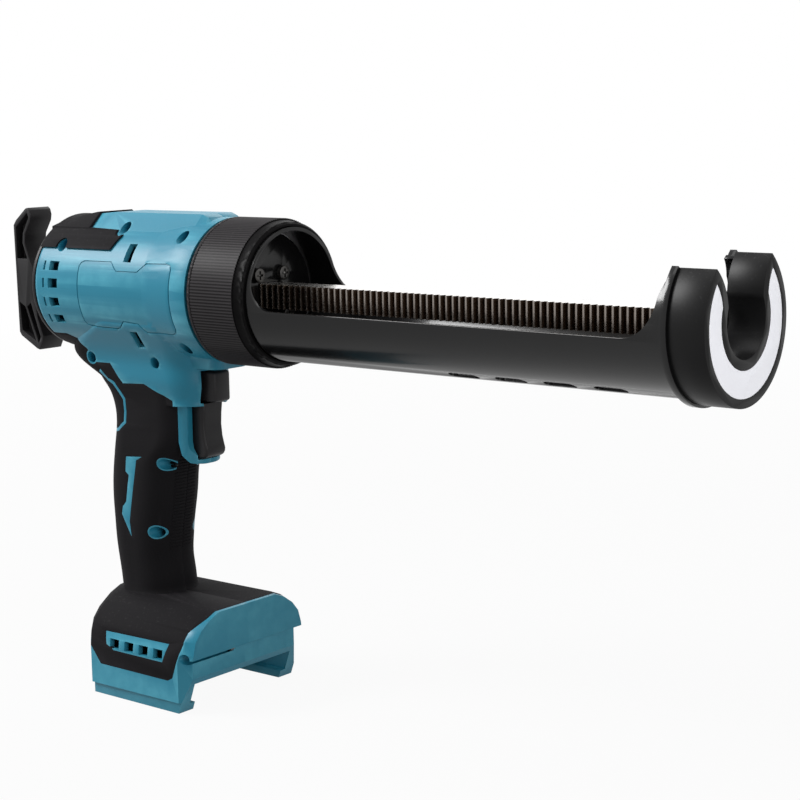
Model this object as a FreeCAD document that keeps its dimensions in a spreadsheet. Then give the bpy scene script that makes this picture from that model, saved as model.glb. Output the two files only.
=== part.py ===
import FreeCAD, Part
import math
import os
import Sketcher
from types import SimpleNamespace
from FreeCAD import Placement, Rotation, Vector

# Frame: +X towards the nozzle, +Z up, Y = 0 is the seam between the housing halves.
# The origin is on the cartridge axis, at the front face of the spigot that the cradle seats on.
# All sizes are in millimetres. A size named "_x", "_y" or "_z" is a place in this frame.

sizes = {
    # shared fits
    "running_gap": 0.05,
    "slide_gap": 0.1,
    "face_gap": 0.3,
    "overrun": 2.0,
    # cartridge cradle, a tube with its top cut away
    "holder_radius": 28.0,
    "holder_wall": 1.5,
    "holder_length": 211.0,
    "holder_flange_height": 1.4,
    "holder_flange_thickness": 3.0,
    "front_ring_height": 2.6,
    "front_ring_length": 2.6,
    "rim_drop": 2.5,
    "mouth_length": 15.0,
    "mouth_sweep": 12.0,
    "nose_sweep": 15.0,
    "nose_lean": 3.4,
    "nose_lean_height": 10.5,
    "cradle_turn": 3.75,
    "slot_length": 14.0,
    "slot_width": 5.0,
    "slot_pitch": 22.0,
    "slot_setback": 26.5,
    "slot_angle": 62.0,
    # nose cap and its light
    "nose_radius": 29.7,
    "nose_length": 14.5,
    "notch_radius": 14.0,
    "notch_z": 1.5,
    "horn_radius": 20.5,
    "horn_y": 33.0,
    "horn_z": 6.4,
    "light_radius": 26.3,
    "light_margin": 3.8,
    "diffuser_thickness": 2.4,
    "led_height": 1.4,
    "led_side": 3.0,
    "led_circle": 21.8,
    "board_thickness": 1.6,
    "nose_screw_radius": 0.8,
    "nose_screw_head_radius": 1.3,
    "nose_screw_head_height": 1.4,
    "nose_screw_depth": 7.0,
    "nose_screw_circle": 28.1,
    # locking collar
    "collar_radius": 31.5,
    "collar_gap": 0.4,
    "collar_lip_thickness": 10.45,
    "collar_chamfer": 1.6,
    "collar_plain_band": 2.4,
    "knurl_depth": 0.7,
    # spigot, back plate
    "spigot_length": 18.0,
    "neck_radius": 26.0,
    "bulkhead_thickness": 1.6,
    "guide_boss_radius": 18.4,
    "guide_boss_length": 10.0,
    "back_plate_gap": 1.0,
    "back_plate_thickness": 1.6,
    "back_screw_radius": 1.5,
    "back_screw_head_radius": 3.0,
    "back_screw_head_height": 2.0,
    "back_screw_depth": 10.0,
    "back_screw_upper_y": 7.7,
    "back_screw_upper_z": 7.9,
    "back_screw_lower_y": 9.9,
    "back_screw_lower_z": -9.9,
    # rack and what it carries
    "rack_width": 13.0,
    "rack_height": 10.0,
    "rack_drop": 0.8,
    "rack_front_x": 201.0,
    "rack_rear_x": -141.0,
    "rack_plain_front": 5.0,
    "gear_module": 1.0,
    "backlash": 0.16,
    "tip_relief": 0.1,
    "piston_radius": 15.5,
    "piston_thickness": 5.0,
    "piston_screw_radius": 2.0,
    "piston_screw_head_radius": 4.0,
    "piston_screw_head_height": 3.0,
    "piston_screw_depth": 12.0,
    "pull_depth": 17.5,
    "pull_height": 66.0,
    "pull_back_wall": 12.4,
    "pull_pocket_depth": 4.4,
    "pull_screw_radius": 2.0,
    "pull_screw_head_radius": 3.6,
    "pull_screw_head_height": 2.2,
    "pull_screw_depth": 10.0,
    # housing
    "wall": 2.6,
    "skin": 1.5,
    "skin_proud": 0.9,
    "barrel_radius": 30.0,
    "barrel_front_radius": 31.2,
    "barrel_length": 95.7,
    "barrel_rim": 2.5,
    "barrel_front_wall": 4.0,
    "hump_top_z": 32.7,
    "hump_top_width": 18.0,
    "hump_width": 33.0,
    "grip_axis_x": -72.0,
    "grip_depth": 40.0,
    "grip_width": 31.0,
    "grip_top_z": -12.0,
    "grip_length": 126.5,
    "band_front_x": -36.0,
    "band_half": 12.0,
    "chin_length": 24.0,
    "chin_width": 26.0,
    "chin_z": -33.6,
    "foot_top_z": -137.0,
    "foot_height": 42.6,
    "foot_front_x": -16.5,
    "foot_length": 75.0,
    "foot_width": 74.0,
    "foot_floor_z": -167.0,
    "foot_floor_thickness": 3.0,
    "foot_step_z": -155.3,
    "foot_step": 2.7,
    "foot_step_half": 32.4,
    "bay_length": 61.0,
    "bay_width": 61.0,
    "rail_width": 3.0,
    "rail_height": 3.5,
    "skirt_start": 2.6,
    "skirt_lean": 6.2,
    "rear_cover_radius": 29.3,
    "rear_cover_thickness": 3.2,
    "vent_width": 6.0,
    "vent_height": 4.2,
    "vent_slit_width": 1.2,
    "vent_x": -101.0,
    "vent_slit_x": -107.2,
    "window_length": 4.6,
    "window_height": 9.0,
    "window_x": -55.8,
    "panel_groove_width": 0.5,
    "panel_groove_depth": 0.4,
    "accent_width": 1.4,
    "grille_slot_width": 5.6,
    "grille_slot_height": 4.4,
    "grille_slot_pitch": 9.0,
    "grille_x": -49.4,
    "grille_z": -155.0,
    # screws along the seam
    "seam_screw_radius": 1.5,
    "seam_screw_head_radius": 2.4,
    "seam_screw_head_height": 2.4,
    "seam_screw_grip": 9.0,
    "seam_seat_y": 7.0,
    "seam_hole_radius": 2.6,
    "seam_boss_wall": 1.4,
    "seam_rim": 0.6,
    "grip_seat_y": 3.4,
    "grip_rim_y": 6.4,
    "screw_top_rear_x": -99.7,
    "screw_top_rear_z": 18.2,
    "screw_top_x": -68.2,
    "screw_top_z": 26.2,
    "screw_top_front_x": -28.6,
    "screw_top_front_z": 23.6,
    "screw_low_front_x": -28.6,
    "screw_low_front_z": -23.4,
    "screw_neck_x": -51.0,
    "screw_neck_z": -31.6,
    "screw_strip_x": -91.2,
    "screw_strip_z": -31.8,
    "screw_grip_x": -53.0,
    "screw_grip_z": -77.6,
    "screw_grip_low_x": -59.6,
    "screw_grip_low_z": -108.9,
    "screw_foot_x": -20.5,
    "screw_foot_z": -155.2,
    # geared motor and last gear pair
    "motor_x": -70.6,
    "motor_radius": 12.2,
    "motor_length": 31.5,
    "motor_bell_length": 3.0,
    "gearbox_length": 48.0,
    "gearbox_radius": 9.4,
    "gearbox_shaft_radius": 2.5,
    "gear_shaft_radius": 2.5,
    "gear_face": 6.0,
    "gear_top_z": -8.6,
    "pinion_face": 9.0,
    "frame_low_z": -20.5,
    "frame_high_z": 7.0,
    "frame_plate": 4.0,
    "frame_rear_x": -86.6,
    "frame_front_x": -44.6,
    "frame_post_radius": 2.6,
    "frame_post_y": 11.0,
    "bush_wall": 2.0,
    # trigger, switch, selector
    "trigger_front_x": -32.7,
    "trigger_depth": 10.9,
    "trigger_top_z": -49.7,
    "trigger_height": 24.5,
    "trigger_width": 12.4,
    "trigger_round": 1.6,
    "trigger_travel": 5.5,
    "trigger_gap": 0.5,
    "plunger_radius": 2.5,
    "plunger_length": 8.5,
    "switch_front_x": -49.5,
    "switch_length": 11.2,
    "switch_width": 22.0,
    "switch_height": 27.0,
    "switch_top_z": -41.0,
    "selector_front_x": -27.6,
    "selector_width": 10.0,
    "selector_height": 13.5,
    "selector_top_z": -35.4,
    "selector_travel": 2.5,
    "selector_gap": 0.4,
    # foot electrics
    "control_board_length": 50.0,
    "control_board_width": 44.0,
    "terminal_length": 22.0,
    "terminal_width": 36.0,
    "terminal_height": 7.5,
    "blade_length": 16.0,
    "blade_thickness": 0.8,
    "blade_height": 5.0,
    "blade_pitch": 11.0,
}

counts = {
    "slot_count": 4,
    "knurl_count": 150,
    "led_count": 9,
    "pinion_teeth": 14,
    "driven_teeth": 18,
    "output_teeth": 12,
    "grille_slot_count": 4,
    "blade_count": 3,
}

doc = FreeCAD.newDocument("caulking_tool")
sheet = doc.addObject("Spreadsheet::Sheet", "sizes")
for row, (alias, number) in enumerate({**sizes, **counts}.items(), 1):
    sheet.set(f"A{row}", alias)
    sheet.set(f"B{row}", str(number))
    sheet.setAlias(f"B{row}", alias)
doc.recompute()


class Size(float):
    """A sheet value, or a sum made of sheet values, that keeps its formula for expressions."""

    def __new__(cls, number, formula):
        made = super().__new__(cls, number)
        made.formula = formula
        return made

    def __add__(self, other):
        return Size(float(self) + float(other), f"({self.formula} + {formula_of(other)})")

    def __sub__(self, other):
        return Size(float(self) - float(other), f"({self.formula} - {formula_of(other)})")

    def __mul__(self, other):
        return Size(float(self) * float(other), f"({self.formula} * {formula_of(other)})")

    def __truediv__(self, other):
        return Size(float(self) / float(other), f"({self.formula} / {formula_of(other)})")

    def __neg__(self):
        return Size(-float(self), f"(0 - {self.formula})")

    __radd__ = __add__
    __rmul__ = __mul__


def formula_of(value):
    return value.formula if isinstance(value, Size) else repr(float(value))


s = SimpleNamespace(**{alias: Size(sheet.get(alias), f"sizes.{alias}") for alias in sizes})
n = SimpleNamespace(**{alias: int(sheet.get(alias)) for alias in counts})
pieces = {}

turns = {
    "x": Rotation(Vector(0, 1, 0), 90),
    "y": Rotation(Vector(1, 0, 0), -90),
    "z": Rotation(),
}


def keep(node, thing):
    """Marks a document object as the finished sub-part NODE."""
    thing.Label = node
    pieces[node] = thing
    return thing


def keep_cradle(node, thing):
    """A piece of the cradle, which rests turned a little about the cartridge axis."""
    thing.Placement = Placement(Vector(), Rotation(Vector(1, 0, 0), float(s.cradle_turn)))
    bind(thing, "Placement.Rotation.Angle", s.cradle_turn)
    return keep(node, thing)


def bind(thing, prop, value):
    if isinstance(value, Size):
        thing.setExpression(prop, value.formula)


def put(thing, place):
    for axis, value in zip("xyz", place):
        bind(thing, f"Placement.Base.{axis}", value)


def rod(name, radius, length, place, axis):
    """A cylinder that starts at place and runs along +axis."""
    made = doc.addObject("Part::Cylinder", name)
    made.Placement = Placement(Vector(), turns[axis])
    bind(made, "Radius", radius)
    bind(made, "Height", length)
    put(made, place)
    return made


def block(name, corner, spans):
    made = doc.addObject("Part::Box", name)
    for prop, span in zip(("Length", "Width", "Height"), spans):
        bind(made, prop, span)
    put(made, corner)
    return made


def joined(name, things):
    made = doc.addObject("Part::MultiFuse", name)
    made.Shapes = list(things)
    return made


def cut(name, base, *tools):
    made = doc.addObject("Part::Cut", name)
    made.Base = base
    made.Tool = tools[0] if len(tools) == 1 else joined(f"{name}_tools", tools)
    return made


def outline(body, role, points):
    """A closed polygon on one of the body's origin planes, each corner bound to the sheet."""
    sketch = body.newObject("Sketcher::SketchObject", f"{body.Name}_outline")
    plane = next(feature for feature in body.Origin.OriginFeatures if feature.Role == role)
    sketch.AttachmentSupport = [(plane, "")]
    sketch.MapMode = "FlatFace"
    corners = [Vector(across, up, 0) for across, up in points]
    for start, end in zip(corners, corners[1:] + corners[:1]):
        sketch.addGeometry(Part.LineSegment(start, end))
    for index in range(len(points)):
        sketch.addConstraint(Sketcher.Constraint("Coincident", index, 2, (index + 1) % len(points), 1))
    for index, (across, up) in enumerate(points):
        for kind, value, axis in (("DistanceX", across, -2), ("DistanceY", up, -1)):
            if float(value) == 0:
                sketch.addConstraint(Sketcher.Constraint("PointOnObject", index, 1, axis))
                continue
            pin = sketch.addConstraint(Sketcher.Constraint(kind, -1, 1, index, 1, float(value)))
            bind(sketch, f"Constraints[{pin}]", value)
    return sketch


def lathe(name, profile):
    """A body turned about the X axis from (x, radius) corners."""
    body = doc.addObject("PartDesign::Body", name)
    sketch = outline(body, "XZ_Plane", profile)
    turned = body.newObject("PartDesign::Revolution", f"{name}_turned")
    turned.Profile = sketch
    turned.ReferenceAxis = (sketch, ["H_Axis"])
    turned.Angle = 360
    return body


def side_slab(name, points, width):
    """A body padded evenly to both sides of the seam plane from (x, z) corners."""
    body = doc.addObject("PartDesign::Body", name)
    pad = body.newObject("PartDesign::Pad", f"{name}_pad")
    pad.Profile = outline(body, "XZ_Plane", points)
    pad.SideType = "Symmetric"
    bind(pad, "Length", width)
    return body


def shaped(name, shape):
    made = doc.addObject("Part::Feature", name)
    made.Shape = shape
    return made


def polygon_face(points):
    corners = [Vector(*point) for point in points]
    return Part.Face(Part.makePolygon(corners + corners[:1]))


def side_prism(points, width):
    """A solid of (x, z) corners, centred on the seam plane."""
    face = polygon_face([(x, -width / 2, z) for x, z in points])
    return face.extrude(Vector(0, width, 0))


def cylinder(radius, length, start, direction):
    return Part.makeCylinder(radius, length, start, direction)


def polar(radius, degrees):
    return radius * math.cos(math.radians(degrees)), radius * math.sin(math.radians(degrees))


# Nose section: a disc with a keyhole notch that is open at the top between two rounded horns

def notch(name, start, length, margin):
    """The space of the keyhole notch, grown by margin, as a tool for cutting along X."""
    bulb = rod(f"{name}_bulb", s.notch_radius + margin, length, (start, 0, s.notch_z), "x")
    gate = block(
        f"{name}_gate",
        (start, -s.horn_y, s.horn_z - s.rim_drop / 2),
        (length, s.horn_y * 2, s.nose_radius + s.overrun),
    )
    horns = []
    for side, y in (("right", -s.horn_y), ("left", s.horn_y)):
        horns.append(rod(f"{name}_horn_{side}", s.horn_radius - margin, length, (start, y, s.horn_z), "x"))
    throat = cut(f"{name}_throat", gate, *horns)
    return joined(f"{name}_space", [bulb, throat])


def notched_disc(name, radius, start, length, margin):
    disc = rod(f"{name}_disc", radius, length, (start, 0, 0), "x")
    return cut(name, disc, notch(name, start - s.overrun, length + s.overrun * 2, margin))


def make_nose():
    front = s.holder_length + s.nose_length
    channel_depth = s.diffuser_thickness + s.led_height + s.board_thickness + s.face_gap
    plate = notched_disc("nose_plate", s.nose_radius, s.holder_length, s.nose_length, s.slide_gap * 0)
    channel = notched_disc("nose_channel", s.light_radius, front - channel_depth, channel_depth + s.overrun,
                           s.light_margin)
    holes = nose_screw_rods("nose_hole", s.nose_screw_radius + s.running_gap)
    keep_cradle("nose_cap", cut("nose_cap", plate, channel, *holes))

    trim = s.light_margin + s.running_gap
    keep_cradle("light_diffuser", notched_disc("light_diffuser", s.light_radius - s.running_gap,
                                        front - s.diffuser_thickness, s.diffuser_thickness, trim))
    board_start = front - channel_depth
    keep_cradle("led_board", notched_disc("led_board", s.light_radius - s.running_gap, board_start,
                                   s.board_thickness, trim))
    leds = []
    first_angle = 18.0
    last_angle = -198.0
    for index in range(n.led_count):
        angle = first_angle + (last_angle - first_angle) * index / (n.led_count - 1)
        led = doc.addObject("Part::Box", f"led_{index}")
        bind(led, "Length", s.led_height)
        bind(led, "Width", s.led_side)
        bind(led, "Height", s.led_side)
        across = s.led_circle * math.cos(math.radians(angle)) - s.led_side / 2
        up = s.led_circle * math.sin(math.radians(angle)) - s.led_side / 2
        put(led, (board_start + s.board_thickness, across, up))
        leds.append(led)
    keep_cradle("leds", joined("leds", leds))

    heads = nose_screw_heads("nose_head", s.nose_screw_head_radius)
    shanks = nose_screw_rods("nose_shank", s.nose_screw_radius)
    keep_cradle("nose_screws", joined("nose_screws", heads + shanks))


def nose_screw_places():
    return [polar(s.nose_screw_circle, degrees) for degrees in (-65, -90, -115)]


def nose_screw_rods(name, radius):
    start = s.holder_length - s.front_ring_length
    length = s.front_ring_length + s.nose_screw_depth
    return [rod(f"{name}_{index}", radius, length, (start, y, z), "x")
            for index, (y, z) in enumerate(nose_screw_places())]


def nose_screw_heads(name, radius):
    start = s.holder_length - s.front_ring_length - s.nose_screw_head_height
    return [rod(f"{name}_{index}", radius, s.nose_screw_head_height, (start, y, z), "x")
            for index, (y, z) in enumerate(nose_screw_places())]


def make_holder():
    seat = s.running_gap
    tube = rod("holder_tube", s.holder_radius, s.holder_length - seat, (seat, 0, 0), "x")
    flange = rod("holder_flange", s.holder_radius + s.holder_flange_height, s.holder_flange_thickness,
                 (seat, 0, 0), "x")
    ring = rod("holder_ring", s.holder_radius + s.front_ring_height, s.front_ring_length,
               (s.holder_length - s.front_ring_length, 0, 0), "x")
    bore = rod("holder_bore", s.holder_radius - s.holder_wall, s.holder_length + s.overrun * 2,
               (-s.overrun, 0, 0), "x")
    body = joined("holder_body", [tube, flange, ring])

    width = (s.holder_radius + s.front_ring_height) * 2 + s.overrun * 2
    left = -width / 2
    rear_x = s.mouth_length + s.mouth_sweep
    front_x = s.holder_length - s.front_ring_length - s.nose_lean - s.nose_sweep
    trough = block("holder_trough", (rear_x, left, -s.rim_drop),
                   (front_x - rear_x, width, s.holder_radius * 2))
    rear_sweep = rod("holder_rear_sweep", s.mouth_sweep, width, (rear_x, left, s.mouth_sweep - s.rim_drop), "y")
    hood = block("holder_hood", (s.mouth_length, left, s.mouth_sweep - s.rim_drop),
                 (s.mouth_sweep + s.overrun, width, s.holder_radius * 2))
    nose_sweep = rod("holder_nose_sweep", s.nose_sweep, width, (front_x, left, s.nose_sweep - s.rim_drop), "y")
    lean_low = s.nose_sweep - s.rim_drop
    lean_high = lean_low + s.nose_lean_height
    lean_x = front_x + s.nose_sweep
    lean = [(front_x, lean_low), (lean_x, lean_low), (lean_x + s.nose_lean, lean_high),
            (lean_x + s.nose_lean, s.holder_radius * 2), (front_x, s.holder_radius * 2)]
    above = shaped("holder_above", side_prism([(float(x), float(z)) for x, z in lean], float(width)))
    gate = notch("holder_notch", s.holder_length - s.front_ring_length - s.overrun,
                 s.front_ring_length + s.overrun * 2, s.slide_gap * 0)
    holes = nose_screw_rods("holder_hole", s.nose_screw_radius + s.running_gap)
    holes += nose_screw_heads("holder_scallop", s.nose_screw_head_radius + s.running_gap)
    slots = [slot for side in (-1, 1) for slot in holder_slots(side)]
    tools = [bore, trough, rear_sweep, hood, nose_sweep, above, gate] + holes + slots
    keep_cradle("cartridge_holder", cut("cartridge_holder", body, *tools))


def holder_slots(side):
    """Round-ended slots low on one flank of the cradle."""
    made = []
    reach = s.holder_radius - s.holder_wall * 2
    depth = s.holder_wall * 4
    turn = Rotation(Vector(1, 0, 0), -side * (90 + float(s.slot_angle)))
    outward = turn.multVec(Vector(0, 0, 1))
    for index in range(n.slot_count):
        centre = s.holder_length - s.slot_setback - s.slot_pitch * index - s.slot_length / 2
        straight = s.slot_length - s.slot_width
        for end, shift in (("rear", -straight / 2), ("front", straight / 2)):
            name = f"slot_{index}_{end}_{'right' if side < 0 else 'left'}"
            round_end = doc.addObject("Part::Cylinder", name)
            round_end.Placement = Placement(Vector(), turn)
            bind(round_end, "Radius", s.slot_width / 2)
            bind(round_end, "Height", depth)
            put(round_end, (centre + shift, reach * outward.y, reach * outward.z))
            made.append(round_end)
        middle = doc.addObject("Part::Box", f"slot_{index}_middle_{'right' if side < 0 else 'left'}")
        middle.Placement = Placement(Vector(), turn)
        bind(middle, "Length", straight)
        bind(middle, "Width", s.slot_width)
        bind(middle, "Height", depth)
        across = turn.multVec(Vector(0, 1, 0))
        half = s.slot_width / 2
        corner_y = reach * outward.y - half * across.y
        corner_z = reach * outward.z - half * across.z
        put(middle, (centre - straight / 2, corner_y, corner_z))
        made.append(middle)
    return made


def make_collar():
    rear = s.face_gap - s.spigot_length
    lip_rear = s.running_gap + s.holder_flange_thickness + s.face_gap
    front = lip_rear + s.collar_lip_thickness
    bore = s.holder_radius + s.holder_flange_height + s.collar_gap
    lip = s.holder_radius + s.collar_gap
    core = s.collar_radius - s.knurl_depth
    ring = lathe("collar_ring", [
        (rear, bore),
        (rear, core - s.collar_chamfer / 2),
        (rear + s.collar_chamfer, core + s.knurl_depth),
        (rear + s.collar_chamfer * 1.5, core + s.knurl_depth),
        (rear + s.collar_chamfer * 1.5 + s.knurl_depth, core),
        (front - s.collar_plain_band * 2, core),
        (front - s.collar_plain_band, core - s.knurl_depth),
        (front - s.collar_chamfer / 2, core - s.knurl_depth),
        (front, core - s.knurl_depth - s.collar_chamfer / 2),
        (front, lip),
        (lip_rear, lip),
        (lip_rear, bore),
    ])
    knurl_start = rear + s.collar_chamfer * 1.5 + s.knurl_depth
    knurl_length = front - s.collar_plain_band * 2 - knurl_start
    crests = []
    step = 360 / n.knurl_count
    valley_share = 0.62
    for index in range(n.knurl_count):
        crests.append((knurl_start, *polar(s.collar_radius, index * step)))
        valley = s.collar_radius - s.knurl_depth * valley_share
        crests.append((knurl_start, *polar(valley, (index + 0.5) * step)))
    ribs = polygon_face(crests).extrude(Vector(knurl_length, 0, 0))
    middle = core - s.knurl_depth
    ribs = ribs.cut(cylinder(middle, knurl_length + s.overrun * 2, Vector(knurl_start - s.overrun, 0, 0),
                             Vector(1, 0, 0)))
    keep("locking_collar", joined("locking_collar", [ring, shaped("collar_knurl", ribs)]))


def rack_slot(name, start, length, gap):
    """The rack's own section, grown by gap, as a tool for cutting along X."""
    return block(name, (start, -s.rack_width / 2 - gap, -s.rack_drop - s.rack_height / 2 - gap),
                 (length, s.rack_width + gap * 2, s.rack_height + gap * 2))


def make_spigot():
    front_radius = s.holder_radius + s.holder_flange_height
    wall_rear = -s.spigot_length - s.barrel_front_wall
    disc_rear = wall_rear - s.bulkhead_thickness
    boss_rear = disc_rear - s.guide_boss_length
    disc_radius = s.barrel_radius - s.wall - s.face_gap
    zero = s.overrun * 0
    turned = lathe("spigot_turned", [
        (boss_rear, zero),
        (boss_rear, s.guide_boss_radius),
        (disc_rear, s.guide_boss_radius),
        (disc_rear, disc_radius),
        (wall_rear, disc_radius),
        (wall_rear, s.neck_radius),
        (-s.spigot_length, s.neck_radius),
        (-s.spigot_length, front_radius),
        (zero, front_radius),
        (zero, zero),
    ])
    slot = rack_slot("spigot_slot", boss_rear - s.overrun, -boss_rear + s.overrun * 2, s.slide_gap)
    holes = [rod(f"spigot_hole_{index}", s.back_screw_radius + s.running_gap, s.back_screw_depth,
                 (-s.back_screw_depth, y, z), "x") for index, (y, z) in enumerate(back_screw_places())]
    keep("front_spigot", cut("front_spigot", turned, slot, *holes))

    plate_radius = s.holder_radius - s.holder_wall - s.back_plate_gap
    disc = rod("back_plate_disc", plate_radius, s.back_plate_thickness, (zero, zero, zero), "x")
    plate_slot = rack_slot("back_plate_slot", -s.overrun, s.back_plate_thickness + s.overrun * 2, s.face_gap)
    plate_holes = [rod(f"back_plate_hole_{index}", s.back_screw_radius + s.running_gap, s.back_screw_depth,
                       (-s.overrun, y, z), "x") for index, (y, z) in enumerate(back_screw_places())]
    keep("back_plate", cut("back_plate", disc, plate_slot, *plate_holes))

    screws = []
    for index, (y, z) in enumerate(back_screw_places()):
        screws.append(rod(f"back_head_{index}", s.back_screw_head_radius, s.back_screw_head_height,
                          (s.back_plate_thickness, y, z), "x"))
        screws.append(rod(f"back_shank_{index}", s.back_screw_radius,
                          s.back_screw_depth + s.back_plate_thickness, (-s.back_screw_depth, y, z), "x"))
    keep("back_plate_screws", joined("back_plate_screws", screws))


def back_screw_places():
    upper = (s.back_screw_upper_y, s.back_screw_upper_z)
    lower = (s.back_screw_lower_y, s.back_screw_lower_z)
    return [(side * y, z) for y, z in (upper, lower) for side in (-1, 1)]


# Gears have straight-sided facets along an involute

def gear_outline(teeth, centre, phase):
    """Corners of a spur gear in plan; a tooth points along phase degrees."""
    pitch_radius = s.gear_module * teeth / 2
    base_radius = pitch_radius * math.cos(math.radians(20))
    tip_radius = pitch_radius + s.gear_module - s.tip_relief
    root_radius = pitch_radius - s.gear_module * 1.25
    half_at_pitch = math.pi / (2 * teeth) - s.backlash / (2 * pitch_radius)
    roll_at_pitch = math.tan(math.acos(base_radius / pitch_radius)) - math.acos(base_radius / pitch_radius)
    flank = [(root_radius, None)]
    for share in (0.0, 0.35, 0.7, 1.0):
        radius = base_radius + (tip_radius - base_radius) * share
        flank.append((radius, radius))
    corners = []
    for tooth in range(teeth):
        middle = math.radians(phase) + 2 * math.pi * tooth / teeth
        rising = []
        for radius, involute_radius in flank:
            at = max(involute_radius or base_radius, base_radius)
            roll = math.tan(math.acos(base_radius / at)) - math.acos(base_radius / at)
            rising.append((radius, half_at_pitch + roll_at_pitch - roll))
        for radius, half in rising:
            corners.append((radius, middle - half))
        for radius, half in reversed(rising):
            corners.append((radius, middle + half))
    plan = [polar(radius, math.degrees(angle)) for radius, angle in corners]
    return [(centre[0] + x, centre[1] + y) for x, y in plan]


def gear(node, teeth, centre, phase, low_z, face, bore):
    corners = [(x, y, low_z) for x, y in gear_outline(teeth, centre, phase)]
    blank = polygon_face(corners).extrude(Vector(0, 0, face))
    hole = cylinder(bore + s.running_gap, face + s.overrun * 2, Vector(*centre, low_z - s.overrun),
                    Vector(0, 0, 1))
    keep(node, shaped(node, blank.cut(hole)))


def pitch_line_y():
    return -s.rack_width / 2 + s.gear_module


def drive_place():
    """Plan position of the drive shaft: its pinion meshes with the rack, its gear with the output gear."""
    y = pitch_line_y() - s.gear_module * n.pinion_teeth / 2
    reach = s.gear_module * (n.driven_teeth + n.output_teeth) / 2
    return float(s.motor_x) + math.sqrt(float(reach) ** 2 - float(y) ** 2), float(y)


def make_rack():
    pitch = math.pi * s.gear_module
    slope = math.tan(math.radians(20))
    half_tip = pitch / 4 - slope * s.gear_module - s.backlash / 4
    half_root = pitch / 4 + slope * s.gear_module * 1.25 - s.backlash / 4
    back_y = float(s.rack_width / 2)
    tip_y = float(-s.rack_width / 2 + s.tip_relief)
    root_y = float(pitch_line_y() + s.gear_module * 1.25)
    gap_x = drive_place()[0]
    first = gap_x - pitch * 5.5
    count = int((s.rack_front_x - s.rack_plain_front - first) / pitch)
    corners = [(s.rack_rear_x, back_y), (s.rack_rear_x, tip_y)]
    corners.append((first - pitch, tip_y))
    for tooth in range(count):
        middle = first + pitch * tooth
        corners.append((middle - half_root, root_y))
        corners.append((middle - half_tip, tip_y))
        corners.append((middle + half_tip, tip_y))
        corners.append((middle + half_root, root_y))
    corners.append((first + pitch * count, tip_y))
    corners.append((s.rack_front_x, tip_y))
    corners.append((s.rack_front_x, back_y))
    low_z = -s.rack_drop - s.rack_height / 2
    bar = polygon_face([(x, y, low_z) for x, y in corners]).extrude(Vector(0, 0, s.rack_height))
    front_hole = cylinder(s.piston_screw_radius + s.running_gap, s.piston_screw_depth + s.overrun,
                          Vector(s.rack_front_x - s.piston_screw_depth, 0, -s.rack_drop), Vector(1, 0, 0))
    rear_hole = cylinder(s.pull_screw_radius + s.running_gap, s.pull_screw_depth + s.overrun,
                         Vector(s.rack_rear_x - s.overrun, 0, -s.rack_drop), Vector(1, 0, 0))
    keep("rack", shaped("rack", bar.cut([front_hole, rear_hole])))

    axis_z = -s.rack_drop
    zero = s.overrun * 0
    plate_front = s.rack_front_x + s.piston_thickness
    plate = rod("piston_disc", s.piston_radius, s.piston_thickness, (s.rack_front_x, zero, axis_z), "x")
    hole = rod("piston_hole", s.piston_screw_radius + s.running_gap, s.piston_thickness + s.overrun * 2,
               (s.rack_front_x - s.overrun, zero, axis_z), "x")
    head_rear = plate_front - s.piston_screw_head_height - s.slide_gap
    sink = rod("piston_sink", s.piston_screw_head_radius + s.slide_gap, s.piston_thickness,
               (head_rear, zero, axis_z), "x")
    keep("piston_plate", cut("piston_plate", plate, hole, sink))
    head = rod("piston_head", s.piston_screw_head_radius, s.piston_screw_head_height,
               (head_rear, zero, axis_z), "x")
    shank = rod("piston_shank", s.piston_screw_radius, head_rear - s.rack_front_x + s.piston_screw_depth,
                (s.rack_front_x - s.piston_screw_depth, zero, axis_z), "x")
    keep("piston_screw", joined("piston_screw", [head, shank]))


# Outline of the pull handle's side, as shares of its depth and height from its back and its middle
pull_shares = [(0.0, 0.375), (0.1, 0.41), (0.5, 0.494), (0.58, 0.5), (0.66, 0.483), (0.70, 0.445),
               (0.67, 0.405), (0.45, 0.315), (0.42, 0.25), (0.60, 0.125), (0.708, 0.08), (0.708, -0.12),
               (0.80, -0.27), (1.0, -0.40), (0.97, -0.435), (0.84, -0.5), (0.74, -0.495), (0.12, -0.41),
               (0.05, -0.385)]
upper_pocket_shares = [(0.09, 0.36), (0.56, 0.465), (0.61, 0.43), (0.36, 0.32), (0.33, 0.25),
                       (0.49, 0.14), (0.09, 0.14)]
lower_front_pocket_shares = [(0.55, -0.17), (0.70, -0.28), (0.89, -0.41), (0.81, -0.45), (0.40, -0.20)]
lower_rear_pocket_shares = [(0.11, -0.17), (0.32, -0.20), (0.70, -0.44), (0.17, -0.37)]


def pull_corners(shares):
    back = s.rack_rear_x - s.pull_back_wall
    return [(back + s.pull_depth * depth, s.pull_height * up) for depth, up in shares]


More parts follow.
